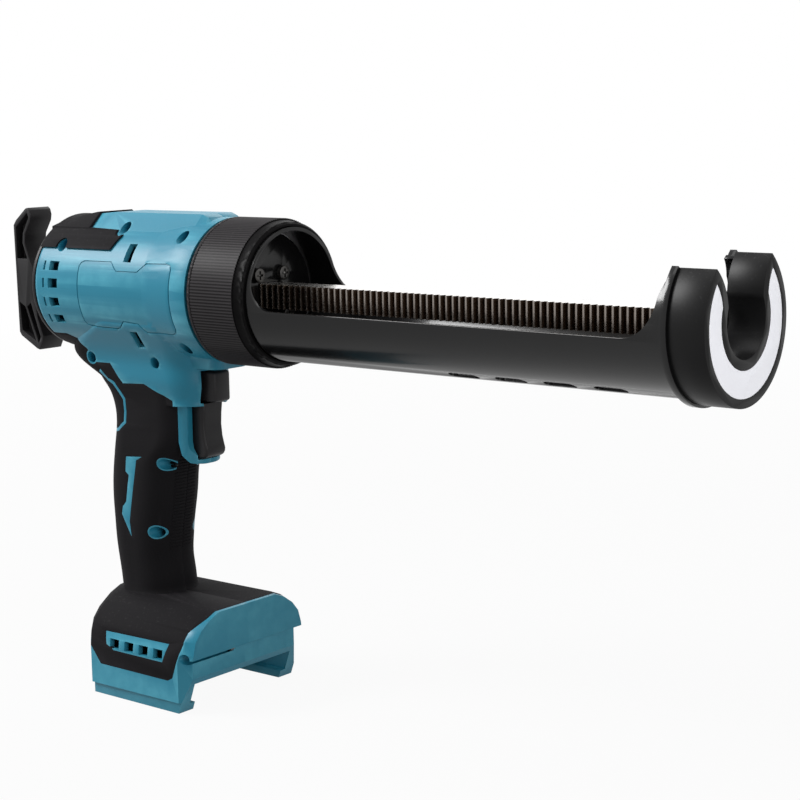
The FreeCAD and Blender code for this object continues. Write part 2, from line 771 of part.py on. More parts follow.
def make_pull_handle():
    slab = side_slab("pull_slab", pull_corners(pull_shares), s.rack_width)
    back = s.rack_rear_x - s.pull_back_wall
    pockets = []
    for name, shares in (("upper", upper_pocket_shares), ("lower_front", lower_front_pocket_shares),
                         ("lower_rear", lower_rear_pocket_shares)):
        for side in (-1, 1):
            prism = side_prism([(float(x), float(z)) for x, z in pull_corners(shares)], s.pull_pocket_depth * 2)
            prism.translate(Vector(0, side * s.rack_width / 2, 0))
            pockets.append(shaped(f"pull_pocket_{name}_{'right' if side < 0 else 'left'}", prism))
    zero = s.overrun * 0
    hole = rod("pull_hole", s.pull_screw_radius + s.running_gap, s.pull_back_wall + s.overrun * 2,
               (back - s.overrun, zero, -s.rack_drop), "x")
    keep("pull_handle", cut("pull_handle", slab, hole, *pockets))
    head = rod("pull_head", s.pull_screw_head_radius, s.pull_screw_head_height,
               (back - s.pull_screw_head_height, zero, -s.rack_drop), "x")
    shank = rod("pull_shank", s.pull_screw_radius, s.pull_back_wall + s.pull_screw_depth,
                (back, zero, -s.rack_drop), "x")
    keep("pull_handle_screw", joined("pull_handle_screw", [head, shank]))


# Housing: barrel, raised top, grip and battery foot, each made again smaller for the skin and the hollow

flare_start_share = 0.72
flare_end_share = 0.88


def barrel_radius_at(along):
    climb = (along - flare_start_share) / (flare_end_share - flare_start_share)
    return s.barrel_radius + (s.barrel_front_radius - s.barrel_radius) * min(max(climb, 0.0), 1.0)


def barrel(inset):
    rear = float(-s.spigot_length - s.barrel_length)
    front = float(-s.spigot_length)
    length = front - rear
    profile = [
        (rear + inset, 0),
        (rear + inset, s.barrel_radius - s.barrel_rim - inset),
        (rear + s.barrel_rim * 0.3 + inset, s.barrel_radius - s.barrel_rim * 0.3 - inset),
        (rear + s.barrel_rim + inset, s.barrel_radius - inset),
        (rear + length * flare_start_share, s.barrel_radius - inset),
        (rear + length * flare_end_share, s.barrel_front_radius - inset),
        (front, s.barrel_front_radius - inset),
        (front, 0),
    ]
    face = polygon_face([(x, 0, radius) for x, radius in profile])
    return face.revolve(Vector(), Vector(1, 0, 0), 360)


# Raised top: place along the barrel and height of the flat, as shares of the barrel's length and of the
# flat's height
hump_shares = [(0.0, 0.84), (0.11, 0.905), (0.23, 0.965), (0.34, 0.995), (0.9, 1.0), (0.935, 0.96),
               (0.96, 0.9)]


def hump(inset):
    rear = float(-s.spigot_length - s.barrel_length)
    wires = []
    shoulder = math.sqrt(float(s.barrel_radius) ** 2 - float(s.hump_width / 2) ** 2)
    for along, up in hump_shares:
        x = rear + s.barrel_length * along
        half_top = s.hump_top_width / 2 - inset / 2
        half_low = s.hump_width / 2 - inset
        top = s.hump_top_z * up - inset
        low = shoulder - inset
        corners = [(-half_low, 0), (-half_low, low), (-half_top, top)]
        corners += [(half_top, top), (half_low, low), (half_low, 0)]
        points = [Vector(x, y, z) for y, z in corners]
        wires.append(Part.makePolygon(points + points[:1]))
    return Part.makeLoft(wires, True, True)


def rounded_wire(back, front, half, radius, z):
    """A rectangle in plan with round corners, as four lines and four arcs."""
    turn = radius * (1 - math.sqrt(0.5))
    b, f, w, r = back, front, half, radius
    arcs = [
        ((f, w - r), (f - turn, w - turn), (f - r, w)),
        ((b + r, w), (b + turn, w - turn), (b, w - r)),
        ((b, r - w), (b + turn, turn - w), (b + r, -w)),
        ((f - r, -w), (f - turn, turn - w), (f, r - w)),
    ]
    edges = []
    for index, (start, middle, end) in enumerate(arcs):
        edges.append(Part.Arc(*[Vector(x, y, z) for x, y in (start, middle, end)]).toShape())
        following = arcs[(index + 1) % 4][0]
        edges.append(Part.LineSegment(Vector(*end, z), Vector(*following, z)).toShape())
    return Part.Wire(edges)


# Sections from top to bottom of the neck and of the grip below it: place down the grip, back and front from the
# grip axis, half width, as shares of the grip's length, depth and width
neck_shares = [
    (0.0, -0.745, 1.032, 0.8),
    (0.111, -0.95, 1.1, 0.629),
    (0.15, -0.963, 1.025, 0.565),
    (0.19, -0.79, 1.005, 0.548),
    (0.261, -0.45, 1.005, 0.495),
    (0.304, -0.36, 1.005, 0.47),
]
neck_corner_share = 0.86
grip_shares = [
    (0.221, -0.6, 0.815, 0.515),
    (0.269, -0.47, 0.81, 0.51),
    (0.316, -0.4, 0.805, 0.5),
    (0.364, -0.375, 0.8, 0.497),
    (0.411, -0.382, 0.79, 0.497),
    (0.451, -0.402, 0.738, 0.5),
    (0.482, -0.42, 0.65, 0.5),
    (0.514, -0.435, 0.568, 0.503),
    (0.553, -0.452, 0.525, 0.506),
    (0.617, -0.468, 0.5, 0.51),
    (0.68, -0.468, 0.468, 0.51),
    (0.743, -0.457, 0.43, 0.51),
    (0.806, -0.448, 0.407, 0.503),
    (0.87, -0.423, 0.395, 0.497),
    (0.933, -0.388, 0.422, 0.503),
    (0.964, -0.37, 0.428, 0.516),
    (1.0, -0.338, 0.55, 0.565),
]
grip_corner_share = 0.88
# Side view of the band that runs round the back of the trigger and forward below it, as shares of the grip's
# depth and length
band_shares = [(0.703, 0.29), (0.8, 0.29), (0.795, 0.433), (0.812, 0.458), (0.865, 0.481), (0.96, 0.493),
               (1.1, 0.501), (1.1, 0.514), (0.93, 0.514), (0.812, 0.505), (0.735, 0.478), (0.703, 0.435)]


def section_wire(shares, corner_share, inset, lift):
    down, back, front, half = shares
    z = float(s.grip_top_z - s.grip_length * down) + lift
    back_x = float(s.grip_axis_x + s.grip_depth * back) + inset
    front_x = float(s.grip_axis_x + s.grip_depth * front) - inset
    half_width = float(s.grip_width * half) - inset
    return rounded_wire(back_x, front_x, half_width, half_width * corner_share, z)


def grip(inset):
    """The neck under the barrel and the grip below it."""
    neck_wires = [section_wire(shares, neck_corner_share, inset, 0.0) for shares in neck_shares[:-1]]
    neck_wires.append(section_wire(neck_shares[-1], neck_corner_share, inset, inset))
    grip_wires = [section_wire(shares, grip_corner_share, inset, 0.0) for shares in grip_shares]
    return Part.makeLoft(neck_wires, True, False).fuse(Part.makeLoft(grip_wires, True, False))


def trigger_band():
    """The lip of the shell round the back of the trigger and below it."""
    corners = share_points(band_shares, (s.grip_axis_x, s.grip_top_z), (s.grip_depth, -s.grip_length))
    side_view = side_prism(corners, float(s.grip_width))
    back = float(s.grip_axis_x)
    half = float(s.band_half)
    ends = []
    for down in (band_shares[0][1], band_shares[-1][1] * 2):
        z = float(s.grip_top_z - s.grip_length * down)
        ends.append(rounded_wire(back, float(s.band_front_x), half, half * grip_corner_share, z))
    return side_view.common(Part.makeLoft(ends, True, True))


def chin(inset):
    """The lip of the neck that runs forward under the collar."""
    front = float(-s.spigot_length) - inset
    back = front - float(s.chin_length) + inset
    half = float(s.chin_width / 2) - inset
    low = rounded_wire(back, front - float(s.barrel_rim), half * 0.8, half * 0.4, float(s.chin_z) + inset)
    high = rounded_wire(back, front, half, half * 0.4, float(s.chin_z) + inset + float(s.barrel_rim) * 2)
    inside = rounded_wire(back, front, half, half * 0.4, float(s.chin_z) / 2)
    return Part.makeLoft([low, high, inside], True, True)


# Half section of the foot from its top down to the heel line: half width and place down, as shares of the
# foot's width and height, and how much of an inset goes inwards and downwards there
foot_profile_shares = [
    (0.27, 0.0, 0.2, 1.0),
    (0.351, 0.059, 0.45, 0.95),
    (0.419, 0.141, 0.65, 0.8),
    (0.47, 0.246, 0.85, 0.55),
    (0.493, 0.376, 1.0, 0.2),
    (0.5, 0.469, 1.0, 0.0),
    (0.5, 0.883, 1.0, 0.0),
]
# Stations of the foot from its back to its front: place along it, narrowing and drop of the section there,
# as shares of the foot's length, width and height
foot_station_shares = [(0.0, 0.223, 0.035), (0.047, 0.149, 0.012), (0.113, 0.062, 0.002),
                       (0.18, 0.0, 0.0), (0.94, 0.0, 0.0), (1.0, 0.027, 0.007)]
heel_station_shares = [(0.067, 0.176), (0.113, 0.092), (0.18, 0.019), (0.94, 0.012), (1.0, 0.039)]


def foot_ring(x, half_points):
    points = [Vector(x, half, z) for half, z in half_points]
    points += [Vector(x, -half, z) for half, z in reversed(half_points)]
    return Part.makePolygon(points + points[:1])


def foot_rear():
    return s.foot_front_x - s.foot_length


def foot(inset):
    rings = []
    for along, narrow, drop in foot_station_shares:
        x = float(foot_rear() + s.foot_length * along)
        if along == 0.0:
            x += inset
        if along == 1.0:
            x -= inset
        half_points = []
        for half, down, inwards, downwards in foot_profile_shares:
            z = s.foot_top_z - s.foot_height * (down + drop * (1 - down))
            reach = float(s.foot_width * (half - narrow)) - inset * inwards
            half_points.append((reach, float(z) - inset * downwards))
        rings.append(foot_ring(x, half_points))
    body = Part.makeLoft(rings, True, True).cut(front_step(inset))
    if inset:
        return body
    heel_top = float(s.foot_top_z - s.foot_height * foot_profile_shares[-1][1])
    heel_low = float(s.foot_top_z - s.foot_height)
    half = float(s.foot_width / 2)
    outline_right = []
    for along, narrow in heel_station_shares:
        outline_right.append((float(foot_rear() + s.foot_length * along), half - float(s.foot_width * narrow)))
    plan = outline_right + [(x, -y) for x, y in reversed(outline_right)]
    heel = polygon_face([(x, y, heel_low) for x, y in plan]).extrude(Vector(0, 0, heel_top - heel_low))
    return body.fuse(heel.cut(front_step(inset)))


def front_step(inset):
    """What is cut off the foot's front below the line of the step, with the two corners."""
    step_x = float(s.foot_front_x - s.foot_step) - inset
    half = float(s.foot_step_half) - inset
    wide = float(s.foot_width / 2 + s.overrun)
    ahead = float(s.foot_front_x + s.overrun)
    corner_x = step_x - (wide - half)
    plan = [(step_x, half), (corner_x, wide), (ahead, wide), (ahead, -wide), (corner_x, -wide), (step_x, -half)]
    top = float(s.foot_step_z) + inset
    depth = float(s.foot_height)
    return polygon_face([(x, y, top - depth) for x, y in plan]).extrude(Vector(0, 0, depth))


def foot_hollow():
    """The room inside the foot, above its floor."""
    room = Part.makeBox(s.foot_length, s.foot_width, s.foot_height)
    room.translate(Vector(foot_rear(), -s.foot_width / 2, s.foot_floor_z + s.foot_floor_thickness))
    return foot(float(s.wall)).common(room)


def battery_bay():
    """The open space for the battery: forwards out of the foot, between two rails."""
    front = s.foot_front_x + s.overrun
    rear = s.foot_front_x - s.bay_length
    bottom = s.foot_top_z - s.foot_height - s.overrun
    bay = Part.makeBox(front - rear, s.bay_width, s.foot_floor_z - bottom)
    bay.translate(Vector(rear, -s.bay_width / 2, bottom))
    for side in (-1, 1):
        rail = Part.makeBox(s.bay_length, s.rail_width, s.rail_height + s.overrun)
        y = s.bay_width / 2 - s.rail_width if side > 0 else -s.bay_width / 2
        rail.translate(Vector(rear, y, bottom))
        bay = bay.cut(rail)
    return bay


def skirt_slope():
    """What is cut off the front ends of the two skirts, so that they lean back."""
    bottom = s.foot_top_z - s.foot_height - s.overrun
    start_z = s.foot_floor_z + s.skirt_start
    start_x = s.foot_front_x - s.foot_step - s.running_gap
    slope = [
        (s.foot_front_x + s.overrun, start_z),
        (start_x, start_z),
        (start_x - s.skirt_lean, bottom),
        (s.foot_front_x + s.overrun, bottom),
    ]
    return side_prism([(float(x), float(z)) for x, z in slope], float(s.foot_width) + float(s.overrun) * 2)


# Edges of the black skins in side view

def share_points(shares, origin, spans):
    return [(float(origin[0]) + float(spans[0]) * x, float(origin[1]) + float(spans[1]) * z) for x, z in shares]


top_skin_shares = [(-0.08, 0.58), (0.475, 0.58), (0.5, 0.78), (0.475, 0.845), (0.255, 0.865),
                   (0.24, 1.3), (-0.08, 1.3)]
grip_skin_shares = [(-1.1, 0.075), (-0.773, 0.075), (-0.625, 0.099), (-0.523, 0.124), (-0.42, 0.173),
                    (-0.193, 0.172), (-0.023, 0.24), (0.312, 0.234), (0.703, 0.285), (0.703, 0.435),
                    (0.735, 0.478), (0.812, 0.505), (0.93, 0.514), (1.2, 0.514),
                    (1.2, 0.984), (-1.1, 0.984)]
accent_outer_shares = [(-0.37, 0.201), (-0.26, 0.231), (-0.175, 0.242), (-0.032, 0.296), (-0.023, 0.34),
                       (-0.037, 0.379), (-0.168, 0.409), (-0.3, 0.419)]
tongue_shares = [(-0.06, -0.023), (0.977, -0.023), (0.977, 0.059), (0.933, 0.176), (0.933, 0.277),
                 (0.859, 0.634), (0.82, 0.671), (0.261, 0.664), (0.151, 0.425), (-0.06, 0.425)]
grille_shares = [(0.3, 0.308), (0.821, 0.298), (0.779, 0.491), (0.377, 0.486), (0.315, 0.437)]
stripe_shares = [(-0.037, 0.502), (0.212, 0.495), (0.12, 0.511), (0.09, 0.564), (0.013, 0.688),
                 (-0.013, 0.732), (0.005, 0.788), (-0.132, 0.711), (-0.115, 0.684), (-0.057, 0.664),
                 (-0.002, 0.567), (-0.052, 0.555)]


def accent_line(width):
    """A thin band along the accent's edge, open to the teal shell underneath."""
    points = share_points(accent_outer_shares, (s.grip_axis_x, s.grip_top_z), (s.grip_depth, -s.grip_length))
    band = None
    for start, end in zip(points, points[1:]):
        along = Vector(end[0] - start[0], 0, end[1] - start[1])
        side = Vector(-along.z, 0, along.x).normalize() * (float(s.accent_width) / 2)
        ends = [Vector(start[0], 0, start[1]), Vector(end[0], 0, end[1])]
        corners = [ends[0] + side, ends[1] + side, ends[1] - side, ends[0] - side]
        piece = side_prism([(corner.x, corner.z) for corner in corners], width)
        band = piece if band is None else band.fuse(piece)
        elbow = cylinder(s.accent_width / 2, width, Vector(end[0], -width / 2, end[1]), Vector(0, 1, 0))
        band = band.fuse(elbow)
    return band


def screw_places():
    names = ("top_rear", "top", "top_front", "low_front", "neck", "strip", "grip", "grip_low", "foot")
    places = []
    for name in names:
        seat = s.grip_seat_y if name.startswith("grip") else s.seam_seat_y
        places.append((name, getattr(s, f"screw_{name}_x"), getattr(s, f"screw_{name}_z"), seat))
    return places


def radial_tool(x, degrees, length, height):
    """A box through the barrel's wall on the right side, turned up by degrees about the axis."""
    tool = Part.makeBox(length, s.wall * 4, height)
    tool.translate(Vector(x - length / 2, -s.barrel_radius - s.wall * 2, -height / 2))
    tool.rotate(Vector(), Vector(1, 0, 0), -degrees)
    return tool


vent_angles = (18.6, 3.6, -12.7, -28.4)
# Corners of the panel line: share of the barrel's length from its rear, degrees up from the right side
panel_shares = [(0.302, -28.0), (0.302, 19.0), (0.311, 22.6), (0.331, 24.2), (0.508, 24.4), (0.528, 20.3),
                (0.551, 16.7), (0.683, 16.9), (0.715, 22.0), (0.732, 24.4), (0.869, 24.4), (0.895, 23.0),
                (0.904, 20.0), (0.904, -28.0), (0.895, -31.5), (0.869, -33.4), (0.702, -34.6),
                (0.659, -27.2), (0.567, -25.6), (0.536, -31.5), (0.514, -32.9), (0.331, -32.6),
                (0.311, -31.4)]
window_angles = (33.5, -43.5)


def side_tools():
    """Vents, windows and the panel's groove lines of the right half."""
    tools = []
    for angle in vent_angles:
        tools.append(radial_tool(float(s.vent_x), angle, float(s.vent_width), float(s.vent_height)))
        tools.append(radial_tool(float(s.vent_slit_x), angle, float(s.vent_slit_width), float(s.vent_height)))
    for angle in window_angles:
        tools.append(radial_tool(float(s.window_x), angle, float(s.window_length), float(s.window_height)))
    return tools


def panel_grooves():
    """Short straight cuts along the panel line, each following the barrel's round side."""
    rear = float(-s.spigot_length - s.barrel_length)
    half = float(s.panel_groove_width / 2)
    widest_turn = 8.0
    stations = []
    for start, end in zip(panel_shares, panel_shares[1:] + panel_shares[:1]):
        steps = max(1, math.ceil(abs(end[1] - start[1]) / widest_turn))
        for step in range(steps):
            share = step / steps
            stations.append((start[0] + (end[0] - start[0]) * share, start[1] + (end[1] - start[1]) * share))
    grooves = []
    for start, end in zip(stations, stations[1:] + stations[:1]):
        places = []
        for along, degrees in (start, end):
            across, up = polar(barrel_radius_at(along) - s.panel_groove_depth, degrees)
            places.append(Vector(rear + s.barrel_length * along, -across, up))
        across, up = polar(1.0, (start[1] + end[1]) / 2)
        outward = Vector(0, -across, up)
        along_line = (places[1] - places[0]).normalize()
        side = along_line.cross(outward).normalize() * half
        first = places[0] - along_line * half
        last = places[1] + along_line * half
        floor = polygon_face([first + side, last + side, last - side, first - side])
        grooves.append(floor.extrude(outward * float(s.overrun)))
    return grooves


def half_space(side):
    """Everything on one side of the seam plane: -1 is the right side, 1 the left."""
    reach = float(s.barrel_length + s.holder_length)
    box = Part.makeBox(reach * 2, reach, reach * 2)
    box.translate(Vector(-reach, 0 if side > 0 else -reach, -reach))
    return box


def mirrored(shape):
    return shape.mirror(Vector(), Vector(0, 1, 0))


def shell(inset):
    body = barrel(inset).fuse([hump(inset), grip(inset), chin(inset), foot(inset)])
    return body if inset else body.fuse(trigger_band())


def make_housing():
    outer = shell(0.0)
    skin_depth = float(s.skin)
    under_skin = shell(skin_depth)
    depth = float(s.foot_width) + float(s.overrun) * 2
    grip_corner = (s.grip_axis_x, s.grip_top_z)
    grip_spans = (s.grip_depth, -s.grip_length)
    grip_zone = side_prism(share_points(grip_skin_shares, grip_corner, grip_spans), depth)
    foot_corner = (foot_rear(), s.foot_top_z)
    foot_spans = (s.foot_length, -s.foot_height)
    tongue = side_prism(share_points(tongue_shares, foot_corner, foot_spans), depth)
    grille = side_prism(share_points(grille_shares, foot_corner, foot_spans), depth)
    stripe = side_prism(share_points(stripe_shares, grip_corner, grip_spans), depth)
    rims = []
    for name, x, z, seat in screw_places():
        rim_end = s.grip_rim_y if name.startswith("grip") else seat
        mouth = Vector(x, -depth / 2, z)
        rim = cylinder(s.seam_hole_radius + s.seam_rim, depth / 2 - rim_end, mouth, Vector(0, 1, 0))
        hole = cylinder(s.seam_hole_radius, depth / 2 - seat, mouth, Vector(0, 1, 0))
        rims += [rim, mirrored(rim), hole, mirrored(hole)]
    trigger_space = front_openings()
    skin = outer.cut(under_skin)
    grip_skin = skin.common(grip_zone.fuse(tongue))
    grip_skin = grip_skin.cut([grille, stripe, accent_line(depth), battery_bay(), skirt_slope(), trigger_band()]
                              + rims + trigger_space)

    proud = float(s.skin_proud)
    raised = barrel(-proud).fuse(hump(-proud)).cut(barrel(skin_depth).fuse(hump(skin_depth)))
    barrel_corner = (-s.spigot_length - s.barrel_length, 0.0)
    top_zone = side_prism(share_points(top_skin_shares, barrel_corner, (s.barrel_length, s.barrel_radius)), depth)
    rear_face = Part.makeBox(s.barrel_length * 2, depth, depth)
    rear_face.translate(Vector(-s.spigot_length - s.barrel_length, -depth / 2, -depth / 2))
    top_skin = raised.common(top_zone).common(rear_face).cut(rims)

    hollow_barrel = barrel(float(s.wall)).fuse(hump(float(s.wall)))
    keep_front = Part.makeBox(s.barrel_length * 2, depth, depth)
    wall_x = -s.spigot_length - s.barrel_front_wall
    keep_front.translate(Vector(wall_x - s.barrel_length * 2, -depth / 2, -depth / 2))
    hollow = hollow_barrel.common(keep_front).fuse([grip(float(s.wall)), foot_hollow()])
    neck_hole = cylinder(s.neck_radius + s.running_gap, s.barrel_front_wall + s.overrun * 2,
                         Vector(-s.spigot_length - s.barrel_front_wall - s.overrun, 0, 0), Vector(1, 0, 0))
    rack_hole = Part.makeBox(s.barrel_length, s.rack_width + s.face_gap * 4, s.rack_height + s.face_gap * 4)
    rack_hole.translate(Vector(-s.spigot_length - s.barrel_length * 1.5, -s.rack_width / 2 - s.face_gap * 2,
                               -s.rack_drop - s.rack_height / 2 - s.face_gap * 2))
    bosses = []
    tunnels = []
    for name, x, z, seat in screw_places():
        boss = cylinder(s.seam_hole_radius + s.seam_boss_wall, depth, Vector(x, -depth / 2, z), Vector(0, 1, 0))
        bosses.append(boss.common(outer))
        tunnels.append(cylinder(s.seam_hole_radius, depth, Vector(x, -depth - seat, z),
                                Vector(0, 1, 0)))
        tunnels.append(cylinder(s.seam_screw_radius + s.running_gap, seat + s.seam_screw_grip,
                                Vector(x, -seat, z), Vector(0, 1, 0)))
    body = outer.cut(hollow).fuse(bosses)
    vents = side_tools()
    vents += [mirrored(tool) for tool in vents]
    grooves = panel_grooves()
    grooves += [mirrored(tool) for tool in grooves]
    body = body.cut(tunnels + vents + grooves + trigger_space + grille_slots(depth)
                    + [neck_hole, rack_hole, battery_bay(), skirt_slope()])
    body = body.cut([grip_skin, top_skin])
    for side, word in ((-1, "right"), (1, "left")):
        half = half_space(side)
        keep(f"housing_{word}", shaped(f"housing_{word}", largest(body.common(half))))
        keep(f"grip_overmould_{word}", shaped(f"grip_overmould_{word}", solids_of(grip_skin.common(half))))
        keep(f"top_overmould_{word}", shaped(f"top_overmould_{word}", solids_of(top_skin.common(half))))


def largest(shape):
    return max(shape.Solids, key=lambda solid: solid.Volume)


def solids_of(shape):
    """The solids of a skin, without slivers."""
    biggest = largest(shape).Volume
    smallest_share = 0.004
    kept = [solid for solid in shape.Solids if solid.Volume > biggest * smallest_share]
    return kept[0] if len(kept) == 1 else Part.makeCompound(kept)


def grille_slots(depth):
    slots = []
    for index in range(n.grille_slot_count):
        x = s.grille_x + s.grille_slot_pitch * (index - (n.grille_slot_count - 1) / 2)
        slot = Part.makeBox(s.grille_slot_width, depth, s.grille_slot_height)
        slot.translate(Vector(x - s.grille_slot_width / 2, -depth / 2, s.grille_z - s.grille_slot_height / 2))
        slots.append(slot)
    return slots


def front_openings():
    """The openings for the trigger and for the selector above it."""
    reach = float(s.grip_depth)
    trigger = Part.makeBox(reach, s.trigger_width + s.trigger_gap * 2, s.trigger_height + s.trigger_gap * 2)
    trigger.translate(Vector(s.trigger_front_x - s.trigger_depth - s.trigger_travel - s.trigger_gap,
                             -s.trigger_width / 2 - s.trigger_gap,
                             s.trigger_top_z - s.trigger_height - s.trigger_gap))
    half = s.selector_width / 2 + s.selector_travel + s.selector_gap
    selector = Part.makeBox(reach, half * 2, s.selector_height + s.selector_gap * 2)
    selector.translate(Vector(s.switch_front_x, -half, s.selector_top_z - s.selector_height - s.selector_gap))
    return [trigger, selector]


def make_rear_cover():
    rear = -s.spigot_length - s.barrel_length - s.rear_cover_thickness
    zero = s.overrun * 0
    radius = s.rear_cover_radius - s.barrel_rim
    disc = lathe("rear_disc", [
        (rear, zero),
        (rear, radius),
        (rear + s.rear_cover_thickness / 2, radius + s.barrel_rim),
        (rear + s.rear_cover_thickness, radius + s.barrel_rim),
        (rear + s.rear_cover_thickness, zero),
    ])
    slot = rack_slot("rear_slot", rear - s.overrun, s.rear_cover_thickness + s.overrun * 2, s.slide_gap)
    keep("rear_cover", cut("rear_cover", disc, slot))


def make_screws():
    screws = []
    for name, x, z, seat in screw_places():
        screws.append(rod(f"seam_head_{name}", s.seam_screw_head_radius, s.seam_screw_head_height,
                          (x, -seat - s.seam_screw_head_height, z), "y"))
        length = seat + s.seam_screw_grip - s.face_gap
        screws.append(rod(f"seam_shank_{name}", s.seam_screw_radius, length, (x, -seat, z), "y"))
    keep("housing_screws", joined("housing_screws", screws))


def make_drive():
    zero = s.overrun * 0
    drive_x, drive_y = drive_place()
    box_top = s.frame_low_z
    box_low = box_top - s.gearbox_length
    can = rod("gearbox_can", s.gearbox_radius, s.gearbox_length, (s.motor_x, zero, box_low), "z")
    bore = rod("gearbox_bore", s.gearbox_shaft_radius + s.running_gap, s.gearbox_length,
               (s.motor_x, zero, box_top - s.gearbox_length / 2), "z")
    keep("gearbox_case", cut("gearbox_case", can, bore))
    motor_low = box_low - s.motor_length
    keep("motor_can", rod("motor_can", s.motor_radius, s.motor_length, (s.motor_x, zero, motor_low), "z"))
    bell = rod("motor_cap", s.motor_radius - s.bush_wall, s.motor_bell_length,
               (s.motor_x, zero, box_low - s.motor_length - s.motor_bell_length), "z")
    tags = []
    for side, y in (("right", -s.motor_radius / 2), ("left", s.motor_radius / 2)):
        tags.append(block(f"motor_tag_{side}", (s.motor_x - s.bush_wall / 2, y, box_low - s.motor_length
                                                - s.motor_bell_length * 2),
                          (s.bush_wall, s.blade_thickness, s.motor_bell_length * 1.5)))
    keep("motor_end_bell", joined("motor_end_bell", [bell] + tags))

    gear_low = s.gear_top_z - s.gear_face
    shaft_low = box_top - s.gearbox_length / 2 + s.face_gap
    keep("gearbox_shaft", rod("gearbox_shaft", s.gearbox_shaft_radius, s.gear_top_z - shaft_low,
                              (s.motor_x, zero, shaft_low), "z"))
    mesh_angle = math.degrees(math.atan2(drive_y, drive_x - float(s.motor_x)))
    gear("output_gear", n.output_teeth, (float(s.motor_x), 0.0), mesh_angle, gear_low, s.gear_face,
         s.gearbox_shaft_radius)
    driven_angle = mesh_angle + 180 + 180 / n.driven_teeth
    gear("driven_gear", n.driven_teeth, (drive_x, drive_y), driven_angle, gear_low, s.gear_face,
         s.gear_shaft_radius)
    pinion_low = -s.rack_drop - s.pinion_face / 2
    gear("rack_pinion", n.pinion_teeth, (drive_x, drive_y), 90, pinion_low, s.pinion_face, s.gear_shaft_radius)
    shaft_top = s.frame_high_z + s.frame_plate
    shaft = cylinder(s.gear_shaft_radius, shaft_top - s.frame_low_z, Vector(drive_x, drive_y, s.frame_low_z),
                     Vector(0, 0, 1))
    keep("drive_shaft", shaped("drive_shaft", shaft))
    bush_radius = s.gear_shaft_radius + s.bush_wall
    for node, low in (("lower_bush", s.frame_low_z), ("upper_bush", s.frame_high_z)):
        ring = cylinder(bush_radius, s.frame_plate, Vector(drive_x, drive_y, low), Vector(0, 0, 1))
        bore = cylinder(s.gear_shaft_radius + s.running_gap, s.frame_plate, Vector(drive_x, drive_y, low),
                        Vector(0, 0, 1))
        keep(node, shaped(node, ring.cut(bore)))

    length = s.frame_front_x - s.frame_rear_x
    width = s.barrel_radius * 2
    parts = []
    for low in (s.frame_low_z, s.frame_high_z):
        plate = Part.makeBox(length, width, s.frame_plate)
        plate.translate(Vector(s.frame_rear_x, -width / 2, low))
        parts.append(plate)
    inset = s.frame_post_radius + s.face_gap
    for x in (s.frame_rear_x + inset, s.frame_front_x - inset):
        for y in (-s.frame_post_y, s.frame_post_y):
            parts.append(cylinder(s.frame_post_radius, s.frame_high_z - s.frame_low_z,
                                  Vector(x, y, s.frame_low_z), Vector(0, 0, 1)))
    frame = parts[0].fuse(parts[1:]).common(barrel(float(s.wall + s.face_gap)))
    holes = [cylinder(bush_radius + s.running_gap, shaft_top - s.frame_low_z + s.overrun * 2,
                      Vector(drive_x, drive_y, s.frame_low_z - s.overrun), Vector(0, 0, 1)),
             cylinder(s.gearbox_shaft_radius + s.face_gap, s.frame_plate + s.overrun * 2,
                      Vector(s.motor_x, 0, s.frame_low_z - s.overrun), Vector(0, 0, 1))]
    keep("gear_frame", shaped("gear_frame", frame.cut(holes)))


# Side view of the trigger, as shares of its depth and height from its front and top
trigger_shares = [(-1.0, 0.0), (-0.046, 0.0), (-0.11, -0.216), (-0.138, -0.42), (-0.092, -0.624),
                  (-0.01, -0.76), (0.046, -0.845), (0.028, -0.905), (-0.046, -0.955), (-0.165, -0.987),
                  (-0.312, -1.0), (-1.0, -1.0)]


def make_trigger():
    corner = (s.trigger_front_x, s.trigger_top_z)
    points = share_points(trigger_shares, corner, (s.trigger_depth, s.trigger_height))
    solid = side_prism(points, float(s.trigger_width))
    front = float(s.trigger_front_x - s.trigger_depth * 0.5)
    near = float(s.running_gap)
    edges = [edge for edge in solid.Edges
             if abs(abs(edge.CenterOfMass.y) - float(s.trigger_width) / 2) < near
             and edge.BoundBox.XMin > front and edge.CenterOfMass.z < float(s.trigger_top_z) - near]
    solid = solid.makeFillet(float(s.trigger_round), edges)
    keep("trigger", shaped("trigger", solid))
    rear = s.trigger_front_x - s.trigger_depth
    middle_z = s.trigger_top_z - s.trigger_height * 0.45
    zero = s.overrun * 0
    keep("switch_plunger", rod("switch_plunger", s.plunger_radius, s.plunger_length,
                               (rear - s.plunger_length, zero, middle_z), "x"))
    case_corner = (s.switch_front_x - s.switch_length, -s.switch_width / 2, s.switch_top_z - s.switch_height)
    case = block("switch_case", case_corner, (s.switch_length, s.switch_width, s.switch_height))
    bore = rod("switch_bore", s.plunger_radius + s.running_gap, s.switch_length,
               (s.switch_front_x - s.switch_length + s.plunger_radius, zero, middle_z), "x")
    keep("trigger_switch", cut("trigger_switch", case, bore))

    length = s.selector_front_x - s.switch_front_x - s.face_gap
    corner = (s.switch_front_x + s.face_gap, -s.selector_width / 2, s.selector_top_z - s.selector_height)
    keep("direction_selector", block("direction_selector", corner, (length, s.selector_width, s.selector_height)))


